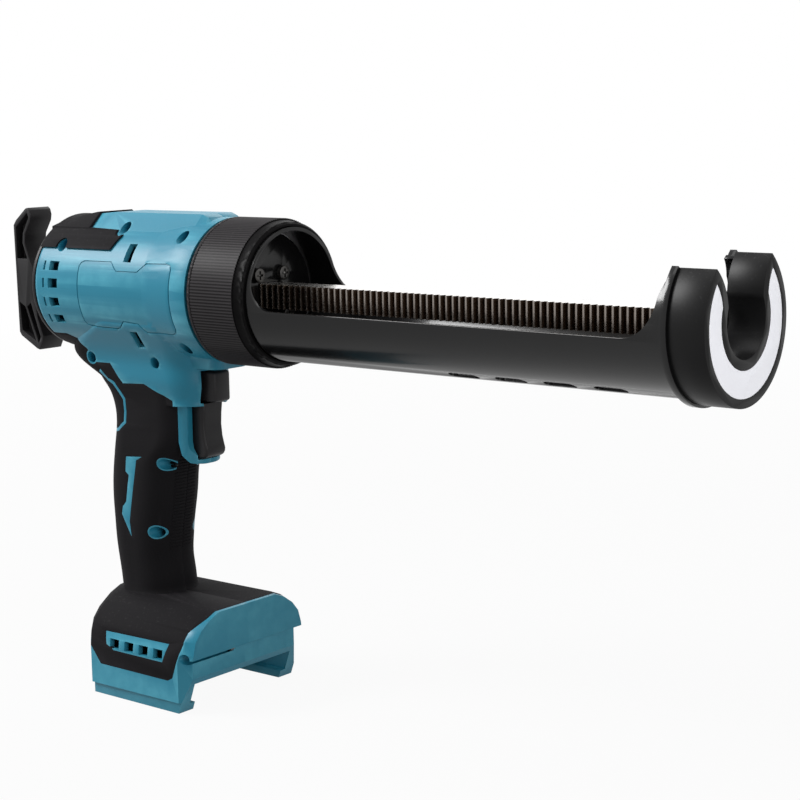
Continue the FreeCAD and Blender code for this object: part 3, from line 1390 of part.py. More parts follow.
def make_foot_electrics():
    rear = s.foot_front_x - s.bay_length
    board_z = s.foot_floor_z + s.foot_floor_thickness
    keep("control_board", block("control_board", (rear, -s.control_board_width / 2, board_z),
                                (s.control_board_length, s.control_board_width, s.board_thickness)))
    low = s.foot_floor_z - s.terminal_height
    keep("terminal_block", block("terminal_block", (rear, -s.terminal_width / 2, low),
                                 (s.terminal_length, s.terminal_width, s.terminal_height)))
    blades = []
    for index in range(n.blade_count):
        y = s.blade_pitch * (index - (n.blade_count - 1) / 2) - s.blade_thickness / 2
        blade_low = low + (s.terminal_height - s.blade_height) / 2
        blades.append(block(f"blade_{index}", (rear + s.terminal_length, y, blade_low),
                            (s.blade_length, s.blade_thickness, s.blade_height)))
    keep("terminal_blades", joined("terminal_blades", blades))


make_nose()
make_holder()
make_collar()
make_spigot()
make_rack()
make_pull_handle()
make_housing()
make_rear_cover()
make_screws()
make_drive()
make_trigger()
make_foot_electrics()
doc.recompute()

broken = [thing.Name for thing in doc.Objects if {"Invalid", "Error"} & set(thing.State)]
for node, thing in pieces.items():
    if thing.Shape.isNull() or not thing.Shape.isValid() or not thing.Shape.Solids:
        broken.append(node)
if broken:
    raise RuntimeError(f"failed objects: {broken}")

os.makedirs("parts", exist_ok=True)
for node, thing in pieces.items():
    thing.Shape.exportStep(f"parts/{node}.step")
    print(node, len(thing.Shape.Solids), round(thing.Shape.Volume, 1))
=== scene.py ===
import bpy
import math
from mathutils import Euler, Matrix, Vector


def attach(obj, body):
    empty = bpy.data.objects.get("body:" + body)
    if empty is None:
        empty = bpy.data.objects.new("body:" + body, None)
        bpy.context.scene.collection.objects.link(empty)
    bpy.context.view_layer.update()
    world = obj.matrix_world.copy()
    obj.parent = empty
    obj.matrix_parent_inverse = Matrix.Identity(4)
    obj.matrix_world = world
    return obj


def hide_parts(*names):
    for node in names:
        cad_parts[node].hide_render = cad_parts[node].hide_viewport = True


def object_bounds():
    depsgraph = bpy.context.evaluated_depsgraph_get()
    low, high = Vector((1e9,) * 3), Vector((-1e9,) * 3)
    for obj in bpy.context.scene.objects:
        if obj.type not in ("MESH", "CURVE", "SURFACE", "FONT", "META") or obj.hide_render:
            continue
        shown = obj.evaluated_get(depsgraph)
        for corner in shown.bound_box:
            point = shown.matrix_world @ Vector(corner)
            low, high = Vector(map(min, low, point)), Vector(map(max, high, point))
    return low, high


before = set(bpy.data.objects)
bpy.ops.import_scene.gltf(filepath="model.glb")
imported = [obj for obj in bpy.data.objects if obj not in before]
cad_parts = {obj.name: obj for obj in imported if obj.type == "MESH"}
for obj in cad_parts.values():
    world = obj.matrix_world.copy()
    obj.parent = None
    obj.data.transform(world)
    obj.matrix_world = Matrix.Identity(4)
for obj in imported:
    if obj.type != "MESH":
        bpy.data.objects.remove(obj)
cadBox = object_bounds()
mm = 0.001
smoothTurn = 32

# selection and shading helpers


def deselectAll():
    if bpy.context.mode != "OBJECT":
        bpy.ops.object.mode_set(mode="OBJECT")
    bpy.ops.object.select_all(action="DESELECT")


def pick(piece):
    deselectAll()
    piece.select_set(True)
    bpy.context.view_layer.objects.active = piece


def applyModifiers(piece):
    pick(piece)
    for modifier in list(piece.modifiers):
        bpy.ops.object.modifier_apply(modifier=modifier.name)


def smooth(piece, degrees=smoothTurn):
    pick(piece)
    bpy.ops.object.shade_smooth_by_angle(angle=math.radians(degrees))


def settle(piece):
    # object at the origin, unturned and unscaled
    pick(piece)
    bpy.ops.object.transform_apply(location=True, rotation=True, scale=True)


def finishWith(piece, material, body, slot, *nodes):
    piece.data.materials.clear()
    piece.data.materials.append(material)
    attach(piece, body)
    if nodes:
        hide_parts(*nodes)
    return piece


# shader groups used by several finishes

grainLook = {"drift": 0.3, "pebbleDetail": 2.0, "driftDetail": 3.0}
sheenLook = {"level": 0.515, "breakup": 160.0, "detail": 4.0}
dustLook = {"scale": 900.0, "detail": 4.0, "threshold": 0.64, "colour": (0.5, 0.5, 0.5)}


def newGroup(name, inputs, outputs):
    group = bpy.data.node_groups.new(name, "ShaderNodeTree")
    for label, default in inputs.items():
        socket = group.interface.new_socket(label, in_out="INPUT", socket_type="NodeSocketFloat")
        socket.default_value = default
    for label, kind in outputs.items():
        group.interface.new_socket(label, in_out="OUTPUT", socket_type=f"NodeSocket{kind}")
    start = group.nodes.new("NodeGroupInput")
    end = group.nodes.new("NodeGroupOutput")
    coords = group.nodes.new("ShaderNodeTexCoord")
    return group, start, end, coords


def addNoise(tree, coords, scaleSocket, detail):
    noise = tree.nodes.new("ShaderNodeTexNoise")
    noise.inputs["Detail"].default_value = detail
    tree.links.new(coords.outputs["Object"], noise.inputs["Vector"])
    tree.links.new(scaleSocket, noise.inputs["Scale"])
    return noise


def addMath(tree, operation, first, second):
    node = tree.nodes.new("ShaderNodeMath")
    node.operation = operation
    for socket, value in zip(node.inputs, (first, second)):
        if isinstance(value, (int, float)):
            socket.default_value = value
        else:
            tree.links.new(value, socket)
    return node.outputs[0]


def makeMouldGrain():
    # spark-eroded mould texture: a fine pebble with a slow drift on top
    inputs = {"Pebble Scale": 1800.0, "Drift Scale": 45.0, "Drift": grainLook["drift"]}
    group, start, end, coords = newGroup("mouldGrain", inputs, {"Height": "Float", "Mask": "Float"})
    pebble = addNoise(group, coords, start.outputs["Pebble Scale"], grainLook["pebbleDetail"])
    drift = addNoise(group, coords, start.outputs["Drift Scale"], grainLook["driftDetail"])
    lift = addMath(group, "MULTIPLY", drift.outputs["Fac"], start.outputs["Drift"])
    height = addMath(group, "ADD", pebble.outputs["Fac"], lift)
    group.links.new(height, end.inputs["Height"])
    group.links.new(drift.outputs["Fac"], end.inputs["Mask"])
    return group


def makeEdgeSheen():
    # painted highlight: the outer edges are made paler where the surface is pointiest, broken up by noise
    inputs = {"Sharpness": 9.0, "Breakup Scale": sheenLook["breakup"]}
    group, start, end, coords = newGroup("edgeRub", inputs, {"Mask": "Float"})
    geometry = group.nodes.new("ShaderNodeNewGeometry")
    raised = addMath(group, "SUBTRACT", geometry.outputs["Pointiness"], sheenLook["level"])
    sharp = addMath(group, "MULTIPLY", raised, start.outputs["Sharpness"])
    breakup = addNoise(group, coords, start.outputs["Breakup Scale"], sheenLook["detail"])
    broken = addMath(group, "MULTIPLY", sharp, breakup.outputs["Fac"])
    clamp = group.nodes.new("ShaderNodeClamp")
    group.links.new(broken, clamp.inputs["Value"])
    group.links.new(clamp.outputs[0], end.inputs["Mask"])
    return group


def makeDust():
    # pale specks that settle on upward faces
    inputs = {"Speck Scale": dustLook["scale"], "Amount": 0.15}
    group, start, end, coords = newGroup("dust", inputs, {"Mask": "Float"})
    geometry = group.nodes.new("ShaderNodeNewGeometry")
    split = group.nodes.new("ShaderNodeSeparateXYZ")
    group.links.new(geometry.outputs["Normal"], split.inputs[0])
    speck = addNoise(group, coords, start.outputs["Speck Scale"], dustLook["detail"])
    spots = addMath(group, "GREATER_THAN", speck.outputs["Fac"], dustLook["threshold"])
    upward = addMath(group, "MAXIMUM", split.outputs["Z"], 0.0)
    settled = addMath(group, "MULTIPLY", spots, upward)
    amount = addMath(group, "MULTIPLY", settled, start.outputs["Amount"])
    group.links.new(amount, end.inputs["Mask"])
    return group


mouldGrain = makeMouldGrain()
edgeRub = makeEdgeSheen()
dust = makeDust()


def placeGroup(tree, group, values):
    node = tree.nodes.new("ShaderNodeGroup")
    node.node_tree = group
    for label, value in values.items():
        node.inputs[label].default_value = value
    return node


def mixColour(tree, mask, low, high):
    mix = tree.nodes.new("ShaderNodeMix")
    mix.data_type = "RGBA"
    tree.links.new(mask, mix.inputs["Factor"])
    for label, value in (("A", low), ("B", high)):
        socket = [entry for entry in mix.inputs if entry.name == label and entry.type == "RGBA"][0]
        if isinstance(value, tuple):
            socket.default_value = (*value, 1.0)
        else:
            tree.links.new(value, socket)
    return [entry for entry in mix.outputs if entry.type == "RGBA"][0]


def mapRange(tree, value, low, high):
    node = tree.nodes.new("ShaderNodeMapRange")
    tree.links.new(value, node.inputs["Value"])
    node.inputs["To Min"].default_value = low
    node.inputs["To Max"].default_value = high
    return node.outputs[0]


def axisDistance(tree, low, high):
    # 0 to 1 between two distances from the barrel's axis
    coords = tree.nodes.new("ShaderNodeTexCoord")
    split = tree.nodes.new("ShaderNodeSeparateXYZ")
    tree.links.new(coords.outputs["Object"], split.inputs[0])
    sideways = addMath(tree, "MULTIPLY", split.outputs["Y"], split.outputs["Y"])
    upward = addMath(tree, "MULTIPLY", split.outputs["Z"], split.outputs["Z"])
    reach = addMath(tree, "SQRT", addMath(tree, "ADD", sideways, upward), 0.0)
    node = tree.nodes.new("ShaderNodeMapRange")
    node.inputs["From Min"].default_value = low
    node.inputs["From Max"].default_value = high
    tree.links.new(reach, node.inputs["Value"])
    return node.outputs[0]


def mouldedFinish(name, look):
    # moulded or painted surface: grain bump, uneven gloss, a painted highlight on the edges and a little dust
    material = bpy.data.materials.new(name)
    material.use_nodes = True
    tree = material.node_tree
    shader = tree.nodes["Principled BSDF"]
    grain = placeGroup(tree, mouldGrain, {"Pebble Scale": look["pebble"], "Drift Scale": look["drift"]})
    sheen = placeGroup(tree, edgeRub, {"Sharpness": look["sheen"]})
    specks = placeGroup(tree, dust, {"Amount": look["dust"]})
    body = mixColour(tree, grain.outputs["Mask"], look["dark"], look["light"])
    if "valleyShadeRange" in look:
        # painted shade: the knurl is darkened towards its valleys, nearer the axis
        body = mixColour(tree, axisDistance(tree, *look["valleyShadeRange"]), look["valley"], body)
    # painted highlight: the pointiest edges take the paler edge colour
    withSheen = mixColour(tree, sheen.outputs["Mask"], body, look["edge"])
    dusted = mixColour(tree, specks.outputs["Mask"], withSheen, dustLook["colour"])
    tree.links.new(dusted, shader.inputs["Base Color"])
    tree.links.new(mapRange(tree, grain.outputs["Mask"], *look["rough"]), shader.inputs["Roughness"])
    bump = tree.nodes.new("ShaderNodeBump")
    bump.inputs["Strength"].default_value = look["bump"]
    bump.inputs["Distance"].default_value = look["bumpDepth"]
    tree.links.new(grain.outputs["Height"], bump.inputs["Height"])
    tree.links.new(bump.outputs["Normal"], shader.inputs["Normal"])
    shader.inputs["Specular IOR Level"].default_value = look["specular"]
    if "coat" in look:
        shader.inputs["Coat Weight"].default_value = look["coat"]
        shader.inputs["Coat Roughness"].default_value = look["coatRough"]
    return material


# each finish's edge colour is a painted highlight laid on its pointiest edges
finishes = {
    "tealShell": dict(dark=(0.013, 0.150, 0.226), light=(0.018, 0.176, 0.262), edge=(0.06, 0.28, 0.37),
                      pebble=1500.0, drift=30.0, sheen=4.0, dust=0.03, rough=(0.33, 0.42), bump=0.08,
                      bumpDepth=0.0002, specular=0.22),
    "softSkin": dict(dark=(0.0058, 0.0054, 0.0062), light=(0.0085, 0.0080, 0.0090), edge=(0.024, 0.022, 0.025),
                     pebble=1100.0, drift=35.0, sheen=3.0, dust=0.02, rough=(0.66, 0.80), bump=0.22,
                     bumpDepth=0.0002, specular=0.06),
    "blackMould": dict(dark=(0.0075, 0.0070, 0.0078), light=(0.011, 0.0104, 0.0114), edge=(0.04, 0.038, 0.041),
                       pebble=1300.0, drift=40.0, sheen=4.0, dust=0.03, rough=(0.34, 0.48), bump=0.14,
                       bumpDepth=0.0002, specular=0.18),
    # the knurl's valley colour is painted shade in its valleys
    "knurlMould": dict(dark=(0.032, 0.030, 0.032), light=(0.042, 0.039, 0.041), edge=(0.06, 0.056, 0.059),
                       pebble=1300.0, drift=40.0, sheen=0.0, dust=0.02, rough=(0.36, 0.48), bump=0.10,
                       bumpDepth=0.0002, specular=0.05, valley=(0.002, 0.0018, 0.002),
                       valleyShadeRange=(31.05 * mm, 31.42 * mm)),
    "noseMould": dict(dark=(0.0045, 0.0045, 0.0048), light=(0.0065, 0.0064, 0.0066), edge=(0.03, 0.03, 0.031),
                      pebble=1300.0, drift=40.0, sheen=3.0, dust=0.03, rough=(0.32, 0.42), bump=0.08,
                      bumpDepth=0.0002, specular=0.11),
    "glossPaint": dict(dark=(0.0026, 0.0026, 0.0028), light=(0.0038, 0.0038, 0.004), edge=(0.04, 0.04, 0.041),
                       pebble=260.0, drift=22.0, sheen=4.0, dust=0.03, rough=(0.16, 0.24), bump=0.04,
                       bumpDepth=0.0003, specular=0.2, coat=0.12, coatRough=0.08),
}
materials = {name: mouldedFinish(name, look) for name, look in finishes.items()}


steelLook = {"detail": 5.0, "bumpDepth": 0.0001, "levelFacing": 0.6}


def makeSteel(name, look):
    # plated, cast or turned metal, with fine lines where it is stretched
    material = bpy.data.materials.new(name)
    material.use_nodes = True
    tree = material.node_tree
    shader = tree.nodes["Principled BSDF"]
    shader.inputs["Metallic"].default_value = 1.0
    coords = tree.nodes.new("ShaderNodeTexCoord")
    mapping = tree.nodes.new("ShaderNodeMapping")
    mapping.inputs["Scale"].default_value = look["stretch"]
    tree.links.new(coords.outputs["Object"], mapping.inputs["Vector"])
    lines = tree.nodes.new("ShaderNodeTexNoise")
    lines.inputs["Scale"].default_value = look["scale"]
    lines.inputs["Detail"].default_value = steelLook["detail"]
    tree.links.new(mapping.outputs["Vector"], lines.inputs["Vector"])
    tint = mixColour(tree, lines.outputs["Fac"], look["dark"], look["light"])
    if "oxideShadeRange" in look:
        # the teeth's sides, not their upward faces, take a brown tint that grows towards their roots: their own
        # oxide colour, deepened by painted shade in the valleys
        split = tree.nodes.new("ShaderNodeSeparateXYZ")
        tree.links.new(coords.outputs["Object"], split.inputs[0])
        valley = tree.nodes.new("ShaderNodeMapRange")
        valley.inputs["From Min"].default_value = look["oxideShadeRange"][0]
        valley.inputs["From Max"].default_value = look["oxideShadeRange"][1]
        tree.links.new(split.outputs["Y"], valley.inputs["Value"])
        geometry = tree.nodes.new("ShaderNodeNewGeometry")
        facing = tree.nodes.new("ShaderNodeSeparateXYZ")
        tree.links.new(geometry.outputs["Normal"], facing.inputs[0])
        level = addMath(tree, "LESS_THAN", facing.outputs["Z"], steelLook["levelFacing"])
        tint = mixColour(tree, addMath(tree, "MULTIPLY", valley.outputs[0], level), tint, look["oxideAndShade"])
    tree.links.new(tint, shader.inputs["Base Color"])
    tree.links.new(mapRange(tree, lines.outputs["Fac"], *look["rough"]), shader.inputs["Roughness"])
    bump = tree.nodes.new("ShaderNodeBump")
    bump.inputs["Strength"].default_value = look["bump"]
    bump.inputs["Distance"].default_value = steelLook["bumpDepth"]
    tree.links.new(lines.outputs["Fac"], bump.inputs["Height"])
    tree.links.new(bump.outputs["Normal"], shader.inputs["Normal"])
    return material


steels = {
    # the rack's brown tint is its oxide on the tooth sides, deepened towards the roots by painted shade
    "rackSteel": dict(dark=(0.62, 0.60, 0.57), light=(0.80, 0.78, 0.76), stretch=(0.15, 1.0, 1.0), scale=900.0,
                      rough=(0.20, 0.32), bump=0.2, oxideAndShade=(0.125, 0.092, 0.070), oxideShadeRange=(-0.0077, -0.0060)),
    "plateSteel": dict(dark=(0.42, 0.42, 0.43), light=(0.62, 0.62, 0.63), stretch=(1.0, 1.0, 1.0), scale=700.0,
                       rough=(0.22, 0.36), bump=0.1),
    "castAlloy": dict(dark=(0.40, 0.40, 0.41), light=(0.58, 0.58, 0.59), stretch=(1.0, 1.0, 1.0), scale=260.0,
                      rough=(0.42, 0.6), bump=0.4),
    "blackScrew": dict(dark=(0.05, 0.048, 0.046), light=(0.10, 0.097, 0.094), stretch=(1.0, 1.0, 1.0),
                       scale=500.0, rough=(0.30, 0.42), bump=0.1),
    "brassTurned": dict(dark=(0.50, 0.34, 0.12), light=(0.72, 0.52, 0.22), stretch=(1.0, 1.0, 0.2), scale=600.0,
                        rough=(0.25, 0.4), bump=0.1),
}
materials.update({name: makeSteel(name, look) for name, look in steels.items()})


def makeMilkyWindow():
    # painted glow: the window, and the LEDs that share its finish, give off a little light though no lamp is
    # lit in them
    look = {"low": (0.88, 0.885, 0.94), "high": (0.92, 0.925, 0.97), "rough": (0.32, 0.42), "scale": 60.0,
            "glow": 0.12}
    material = bpy.data.materials.new("milkyWindow")
    material.use_nodes = True
    tree = material.node_tree
    shader = tree.nodes["Principled BSDF"]
    coords = tree.nodes.new("ShaderNodeTexCoord")
    noise = tree.nodes.new("ShaderNodeTexNoise")
    noise.inputs["Scale"].default_value = look["scale"]
    tree.links.new(coords.outputs["Object"], noise.inputs["Vector"])
    tint = mixColour(tree, noise.outputs["Fac"], look["low"], look["high"])
    tree.links.new(tint, shader.inputs["Base Color"])
    tree.links.new(mapRange(tree, noise.outputs["Fac"], *look["rough"]), shader.inputs["Roughness"])
    tree.links.new(tint, shader.inputs["Emission Color"])
    shader.inputs["Emission Strength"].default_value = look["glow"]
    return material


materials["milkyWindow"] = makeMilkyWindow()


def makeBoardFinish():
    # green solder mask with a faint track pattern
    look = {"mask": (0.01, 0.10, 0.04), "track": (0.02, 0.16, 0.07), "rough": (0.3, 0.4), "scale": 120.0}
    material = bpy.data.materials.new("solderMask")
    material.use_nodes = True
    tree = material.node_tree
    shader = tree.nodes["Principled BSDF"]
    coords = tree.nodes.new("ShaderNodeTexCoord")
    tracks = tree.nodes.new("ShaderNodeTexBrick")
    tracks.inputs["Scale"].default_value = look["scale"]
    tree.links.new(coords.outputs["Object"], tracks.inputs["Vector"])
    tint = mixColour(tree, tracks.outputs["Fac"], look["mask"], look["track"])
    tree.links.new(tint, shader.inputs["Base Color"])
    tree.links.new(mapRange(tree, tracks.outputs["Fac"], *look["rough"]), shader.inputs["Roughness"])
    return material


materials["solderMask"] = makeBoardFinish()
print("finishes ready:", len(materials))


# CAD solids with their edges broken, as a mould or a cutter leaves them

edgeLook = {"weld": 0.002 * mm, "flat": 0.2, "segments": 2, "sharp": 30}


def copyNode(node):
    piece = bpy.data.objects.new(f"{node}_dressed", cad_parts[node].data.copy())
    bpy.context.scene.collection.objects.link(piece)
    pick(piece)
    bpy.ops.object.mode_set(mode="EDIT")
    bpy.ops.mesh.select_all(action="SELECT")
    bpy.ops.mesh.remove_doubles(threshold=edgeLook["weld"])
    bpy.ops.mesh.dissolve_limited(angle_limit=math.radians(edgeLook["flat"]))
    bpy.ops.object.mode_set(mode="OBJECT")
    return piece


def breakEdges(piece, edge):
    if edge:
        bevel = piece.modifiers.new("edge", "BEVEL")
        bevel.width = edge
        bevel.segments = edgeLook["segments"]
        bevel.limit_method = "ANGLE"
        bevel.angle_limit = math.radians(edgeLook["sharp"])
        bevel.miter_outer = "MITER_ARC"
        applyModifiers(piece)


barrelLook = {"slack": 0.04 * mm, "facing": 0.9, "flatArea": 12.0 * mm * mm, "flatCorners": 4,
              "topShare": 0.6, "planeArea": 40.0 * mm * mm, "planeFacing": 0.9992}


def barrelRadius():
    # the radius that most corners of the shell's outside share about the axis
    counts = {}
    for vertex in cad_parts["housing_right"].data.vertices:
        reach = round(math.hypot(vertex.co.y, vertex.co.z) / mm, 2)
        counts[reach] = counts.get(reach, 0) + 1
    return max(counts, key=counts.get) * mm


def liesOnBarrel(mesh, face, radius):
    reaches = [math.hypot(mesh.vertices[i].co.y, mesh.vertices[i].co.z) for i in face.vertices]
    return max(abs(reach - radius) for reach in reaches) < barrelLook["slack"]


def topPlanes(mesh, radius):
    # the directions that the flat faces of the raised top look in
    areas = {}
    for face in mesh.polygons:
        if face.center.z > barrelLook["topShare"] * radius and not liesOnBarrel(mesh, face, radius):
            key = tuple(round(value, 2) for value in face.normal)
            areas[key] = areas.get(key, 0.0) + face.area
    return [Vector(key).normalized() for key, area in areas.items() if area > barrelLook["planeArea"]]


def steadyNormals(piece, radius):
    # corners on the round barrel shade along its radius, and the top's and other large flat faces shade flat
    mesh = piece.data
    planes = topPlanes(mesh, radius)
    normals = [(0.0, 0.0, 0.0)] * len(mesh.loops)
    for face in mesh.polygons:
        onBarrel = liesOnBarrel(mesh, face, radius)
        onTop = face.center.z > barrelLook["topShare"] * radius and not onBarrel
        large = face.area > barrelLook["flatArea"] and len(face.vertices) > barrelLook["flatCorners"]
        flat = large or onTop and any(plane.dot(face.normal) > barrelLook["planeFacing"] for plane in planes)
        outward = Vector((0.0, face.center.y, face.center.z)).normalized()
        for loop in face.loop_indices:
            place = mesh.vertices[mesh.loops[loop].vertex_index].co
            if onBarrel and face.normal.dot(outward) > barrelLook["facing"]:
                normals[loop] = Vector((0.0, place.y, place.z)).normalized()
            elif flat:
                normals[loop] = face.normal.copy()
    mesh.normals_split_custom_set(normals)


shellRadius = barrelRadius()
print("barrel radius in mm:", round(shellRadius / mm, 2))


def dressNode(node, material, body, slot, edge, turn):
    piece = copyNode(node)
    breakEdges(piece, edge)
    smooth(piece, turn)
    if node.startswith("housing"):
        steadyNormals(piece, shellRadius)
    return finishWith(piece, materials[material], body, slot, node)


# node, finish, body, slot and width of the broken edge in mm
dressed = [
    ("housing_right", "tealShell", "body", "teal_shell", 0.35),
    ("housing_left", "tealShell", "body", "teal_shell", 0.35),
    ("grip_overmould_right", "softSkin", "body", "black_skin", 0.25),
    ("grip_overmould_left", "softSkin", "body", "black_skin", 0.25),
    ("top_overmould_right", "softSkin", "body", "black_skin", 0.3),
    ("top_overmould_left", "softSkin", "body", "black_skin", 0.3),
    ("rear_cover", "blackMould", "body", "black_plastic", 0.5),
    ("back_plate", "glossPaint", "body", "black_paint", 0.2),
    ("pull_handle", "blackMould", "ram", "black_plastic", 1.1),
    ("trigger", "blackMould", "trigger_body", "black_plastic", 0.4),
    ("direction_selector", "blackMould", "selector", "black_plastic", 1.2),
    ("locking_collar", "knurlMould", "collar", "black_plastic", 0.0),
    ("cartridge_holder", "glossPaint", "cradle", "black_paint", 0.25),
    ("nose_cap", "noseMould", "cradle", "black_plastic", 0.4),
    ("light_diffuser", "milkyWindow", "cradle", "white_window", 0.12),
    ("rack", "rackSteel", "ram", "rack_steel", 0.0),
    ("piston_plate", "plateSteel", "ram", "bright_steel", 0.5),
]
knurlTurn = 12
for node, material, body, slot, edge in dressed:
    turn = knurlTurn if node == "locking_collar" else smoothTurn
    dressNode(node, material, body, slot, edge * mm, turn)
print("dressed solids:", len(dressed))


# screws with a cross recess in the head

screwLook = {"slotShare": 0.62, "widthShare": 0.16, "depthShare": 0.55, "rimShare": 0.9, "edge": 0.2 * mm}


def headPlace(screw, axis):
    # middle of the outer face of a screw's head, which way it faces, and its radius
    corners = [Vector(corner) for corner in screw.bound_box]
    low = Vector([min(corner[i] for corner in corners) for i in range(3)])
    high = Vector([max(corner[i] for corner in corners) for i in range(3)])
    middle = (low + high) / 2
    side = (axis + 1) % 3
    radius = (high[side] - low[side]) / 2
    rimReach = radius * screwLook["rimShare"]
    rim = [vertex.co[axis] for vertex in screw.data.vertices if abs(vertex.co[side] - middle[side]) > rimReach]
    facing = 1 if sum(rim) / len(rim) > middle[axis] else -1
    middle[axis] = high[axis] if facing > 0 else low[axis]
    return middle, facing, radius


def cutRecess(screw, axis):
    place, facing, radius = headPlace(screw, axis)
    across, upward = (axis + 1) % 3, (axis + 2) % 3
    for along, thin in ((across, upward), (upward, across)):
        deselectAll()
        bpy.ops.mesh.primitive_cube_add(size=1.0, location=place)
        cutter = bpy.context.object
        scale = [radius * screwLook["depthShare"] * 2] * 3
        scale[along] = radius * screwLook["slotShare"] * 2
        scale[thin] = radius * screwLook["widthShare"] * 2
        bpy.ops.transform.resize(value=scale)
        settle(cutter)
        recess = screw.modifiers.new("recess", "BOOLEAN")
        recess.object = cutter
        recess.solver = "EXACT"
        applyModifiers(screw)
        bpy.data.objects.remove(cutter)


def dressScrews(node, material, body, slot, axis):
    piece = copyNode(node)
    bpy.ops.object.mode_set(mode="EDIT")
    bpy.ops.mesh.select_all(action="SELECT")
    bpy.ops.mesh.separate(type="LOOSE")
    bpy.ops.object.mode_set(mode="OBJECT")
    screws = sorted(bpy.context.selected_objects, key=lambda entry: entry.name)
    for screw in screws:
        breakEdges(screw, screwLook["edge"])
        cutRecess(screw, axis)
    deselectAll()
    for screw in screws:
        screw.select_set(True)
    bpy.context.view_layer.objects.active = piece
    if len(screws) > 1:
        bpy.ops.object.join()
    smooth(piece)
    return finishWith(piece, materials[material], body, slot, node)


# node, body and the axis that its screws lie along
screwNodes = [
    ("housing_screws", "body", 1),
    ("back_plate_screws", "body", 0),
    ("nose_screws", "cradle", 0),
    ("piston_screw", "ram", 0),
    ("pull_handle_screw", "ram", 0),
]
for node, body, axis in screwNodes:
    dressScrews(node, "blackScrew", body, "bright_steel", axis)
print("screws dressed:", len(screwNodes))


# fine ribs across the front of the grip

ribLook = {
    "top": -76.5 * mm,
    "pitch": 1.5 * mm,
    "count": 28,
    "height": 0.75 * mm,
    "reach": 6.5 * mm,
    "seam": 0.25 * mm,
    "rise": 0.7 * mm,
    "start": -30.0 * mm,
    "edge": 0.14 * mm,
    "cuts": (2, 10),
}


def makeGripRibs(side, skin):
    deselectAll()
    look = ribLook
    width = look["reach"] - look["seam"]
    middle = side * (look["reach"] + look["seam"]) / 2
    lengthwise, crosswise = look["cuts"]
    bpy.ops.mesh.primitive_grid_add(x_subdivisions=lengthwise, y_subdivisions=crosswise, size=1.0)
    ribs = bpy.context.object
    ribs.name = f"grip_ribs_{skin}"
    bpy.ops.transform.resize(value=(look["height"], width, 1.0))
    bpy.ops.transform.rotate(value=math.pi / 2, orient_axis="Y", center_override=(0, 0, 0))
    bpy.ops.transform.translate(value=(look["start"], middle, look["top"]))
    settle(ribs)
    row = ribs.modifiers.new("row", "ARRAY")
    row.use_relative_offset = False
    row.use_constant_offset = True
    row.constant_offset_displace = (0, 0, -look["pitch"])
    row.count = look["count"]
    wrap = ribs.modifiers.new("wrap", "SHRINKWRAP")
    wrap.target = bpy.data.objects[f"{skin}_dressed"]
    wrap.wrap_method = "PROJECT"
    wrap.use_project_x = True
    wrap.use_negative_direction = True
    wrap.use_positive_direction = False
    thick = ribs.modifiers.new("thick", "SOLIDIFY")
    thick.thickness = look["rise"]
    thick.offset = 0.0
    applyModifiers(ribs)
    breakEdges(ribs, look["edge"])
    smooth(ribs)
    return finishWith(ribs, materials["softSkin"], "body", "black_skin")


makeGripRibs(-1, "grip_overmould_right")
makeGripRibs(1, "grip_overmould_left")
print("grip ribs made")

# CAD solids that keep their shape and only get a finish

plainNodes = {
    "castAlloy": ["front_spigot", "gear_frame", "gearbox_case"],
    "plateSteel": ["gearbox_shaft", "drive_shaft", "output_gear", "driven_gear", "rack_pinion",
                   "switch_plunger", "motor_can"],
    "blackMould": ["trigger_switch", "terminal_block", "motor_end_bell"],
    "brassTurned": ["lower_bush", "upper_bush", "terminal_blades"],
    "milkyWindow": ["leds"],
    "solderMask": ["led_board", "control_board"],
}
for material, nodes in plainNodes.items():
    for node in nodes:
        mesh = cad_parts[node].data
        mesh.materials.clear()
        mesh.materials.append(materials[material])


# studio: floor, world, lamps as name, place, size and watts, and what they aim at

studio = {
    "floorDrop": 0.0002,
    "floorSize": 60.0,
    "floorColour": (0.36, 0.36, 0.36, 1.0),
    "floorRough": 0.9,
    "floorWhite": 0.94,
    "floorFade": (0.5, 1.6),
    "worldStrength": 0.16,
    "lamps": [
        ("keyLamp", (-1.1, -0.84, 1.04), 0.7, 41.0),
        ("topLamp", (0.0, -0.2, 1.5), 1.0, 8.0),
        ("fillLamp", (1.5, -0.45, 0.4), 0.9, 11.0),
        ("rimLamp", (-0.5, 1.2, 0.9), 1.2, 5.0),
    ],
    "aim": (0.03, 0.0, -0.06),
}


def seenDirectly(tree):
    # 1 for rays that show the background itself, and 0 for those that light the part
    path = tree.nodes.new("ShaderNodeLightPath")
    direct = addMath(tree, "MAXIMUM", path.outputs["Is Camera Ray"], path.outputs["Is Glossy Ray"])
    return addMath(tree, "MAXIMUM", direct, path.outputs["Is Transmission Ray"])


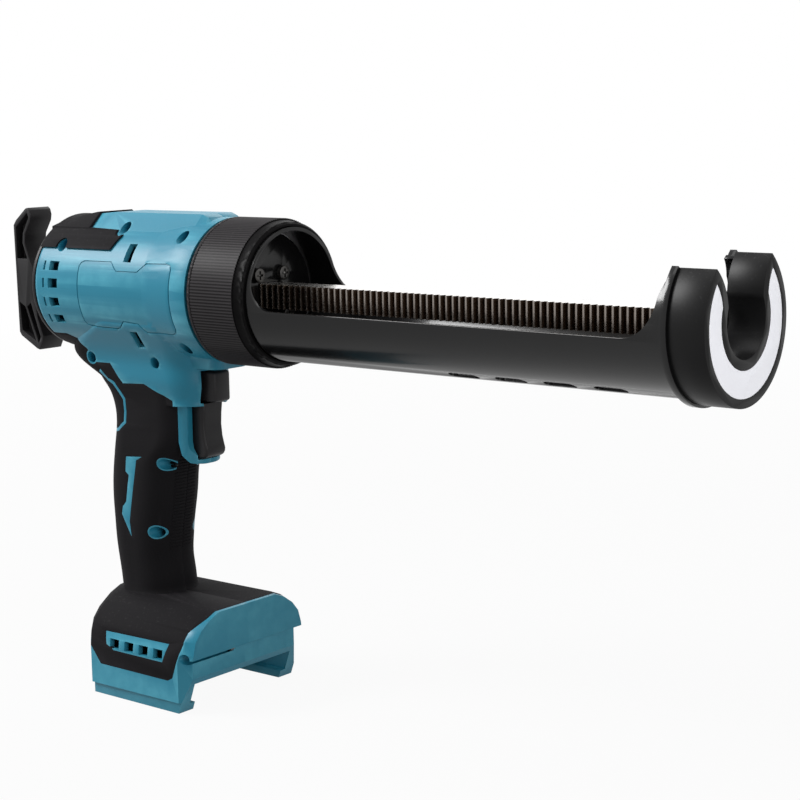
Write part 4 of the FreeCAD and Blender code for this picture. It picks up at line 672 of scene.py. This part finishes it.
def makeFloor():
    deselectAll()
    low = cadBox[0].z - studio["floorDrop"]
    bpy.ops.mesh.primitive_plane_add(size=studio["floorSize"], location=(0, 0, low))
    floor = bpy.context.object
    floor.name = "floor"
    settle(floor)
    material = bpy.data.materials.new("paleFloor")
    material.use_nodes = True
    tree = material.node_tree
    shader = tree.nodes["Principled BSDF"]
    shader.inputs["Base Color"].default_value = studio["floorColour"]
    shader.inputs["Roughness"].default_value = studio["floorRough"]
    glow = tree.nodes.new("ShaderNodeEmission")
    coords = tree.nodes.new("ShaderNodeTexCoord")
    length = tree.nodes.new("ShaderNodeVectorMath")
    length.operation = "LENGTH"
    tree.links.new(coords.outputs["Object"], length.inputs[0])
    fade = tree.nodes.new("ShaderNodeMapRange")
    near, far = studio["floorFade"]
    fade.inputs["From Min"].default_value = near
    fade.inputs["From Max"].default_value = far
    fade.inputs["To Min"].default_value = studio["floorWhite"]
    tree.links.new(length.outputs["Value"], fade.inputs["Value"])
    seen = addMath(tree, "MULTIPLY", seenDirectly(tree), fade.outputs[0])
    mix = tree.nodes.new("ShaderNodeMixShader")
    tree.links.new(seen, mix.inputs["Fac"])
    tree.links.new(shader.outputs["BSDF"], mix.inputs[1])
    tree.links.new(glow.outputs["Emission"], mix.inputs[2])
    tree.links.new(mix.outputs["Shader"], tree.nodes["Material Output"].inputs["Surface"])
    floor.data.materials.append(material)


def makeWorld():
    world = bpy.data.worlds.new("studioWorld")
    bpy.context.scene.world = world
    world.use_nodes = True
    tree = world.node_tree
    background = tree.nodes["Background"]
    white = (1.0, 1.0, 1.0, 1.0)
    background.inputs["Color"].default_value = white
    strength = mapRange(tree, seenDirectly(tree), studio["worldStrength"], 1.0)
    tree.links.new(strength, background.inputs["Strength"])


def makeLamps():
    for name, place, size, watts in studio["lamps"]:
        lamp = bpy.data.lights.new(name, "AREA")
        lamp.size = size
        lamp.energy = watts
        holder = bpy.data.objects.new(name, lamp)
        holder.location = place
        direction = Vector(studio["aim"]) - Vector(place)
        holder.rotation_euler = direction.to_track_quat("-Z", "Y").to_euler()
        bpy.context.scene.collection.objects.link(holder)


camera = {
    "place": (0.53477, -0.58031, 0.07712),
    "yaw": 38.643,
    "pitch": 8.945,
    "roll": -0.962,
    "lens": 84.335,
    "sensor": 36.0,
    "clipStart": 0.01,
}


def makeCamera():
    lens = bpy.data.cameras.new("photoCamera")
    lens.lens = camera["lens"]
    lens.sensor_width = camera["sensor"]
    lens.clip_start = camera["clipStart"]
    viewer = bpy.data.objects.new("photoCamera", lens)
    level = Euler((math.radians(90 - camera["pitch"]), 0, math.radians(camera["yaw"]))).to_matrix()
    turned = level @ Matrix.Rotation(math.radians(camera["roll"]), 3, "Z")
    viewer.matrix_world = Matrix.Translation(camera["place"]) @ turned.to_4x4()
    bpy.context.scene.collection.objects.link(viewer)
    bpy.context.scene.camera = viewer


makeFloor()
makeWorld()
makeLamps()
makeCamera()
bpy.context.scene.view_settings.view_transform = "Standard"
print("studio ready")
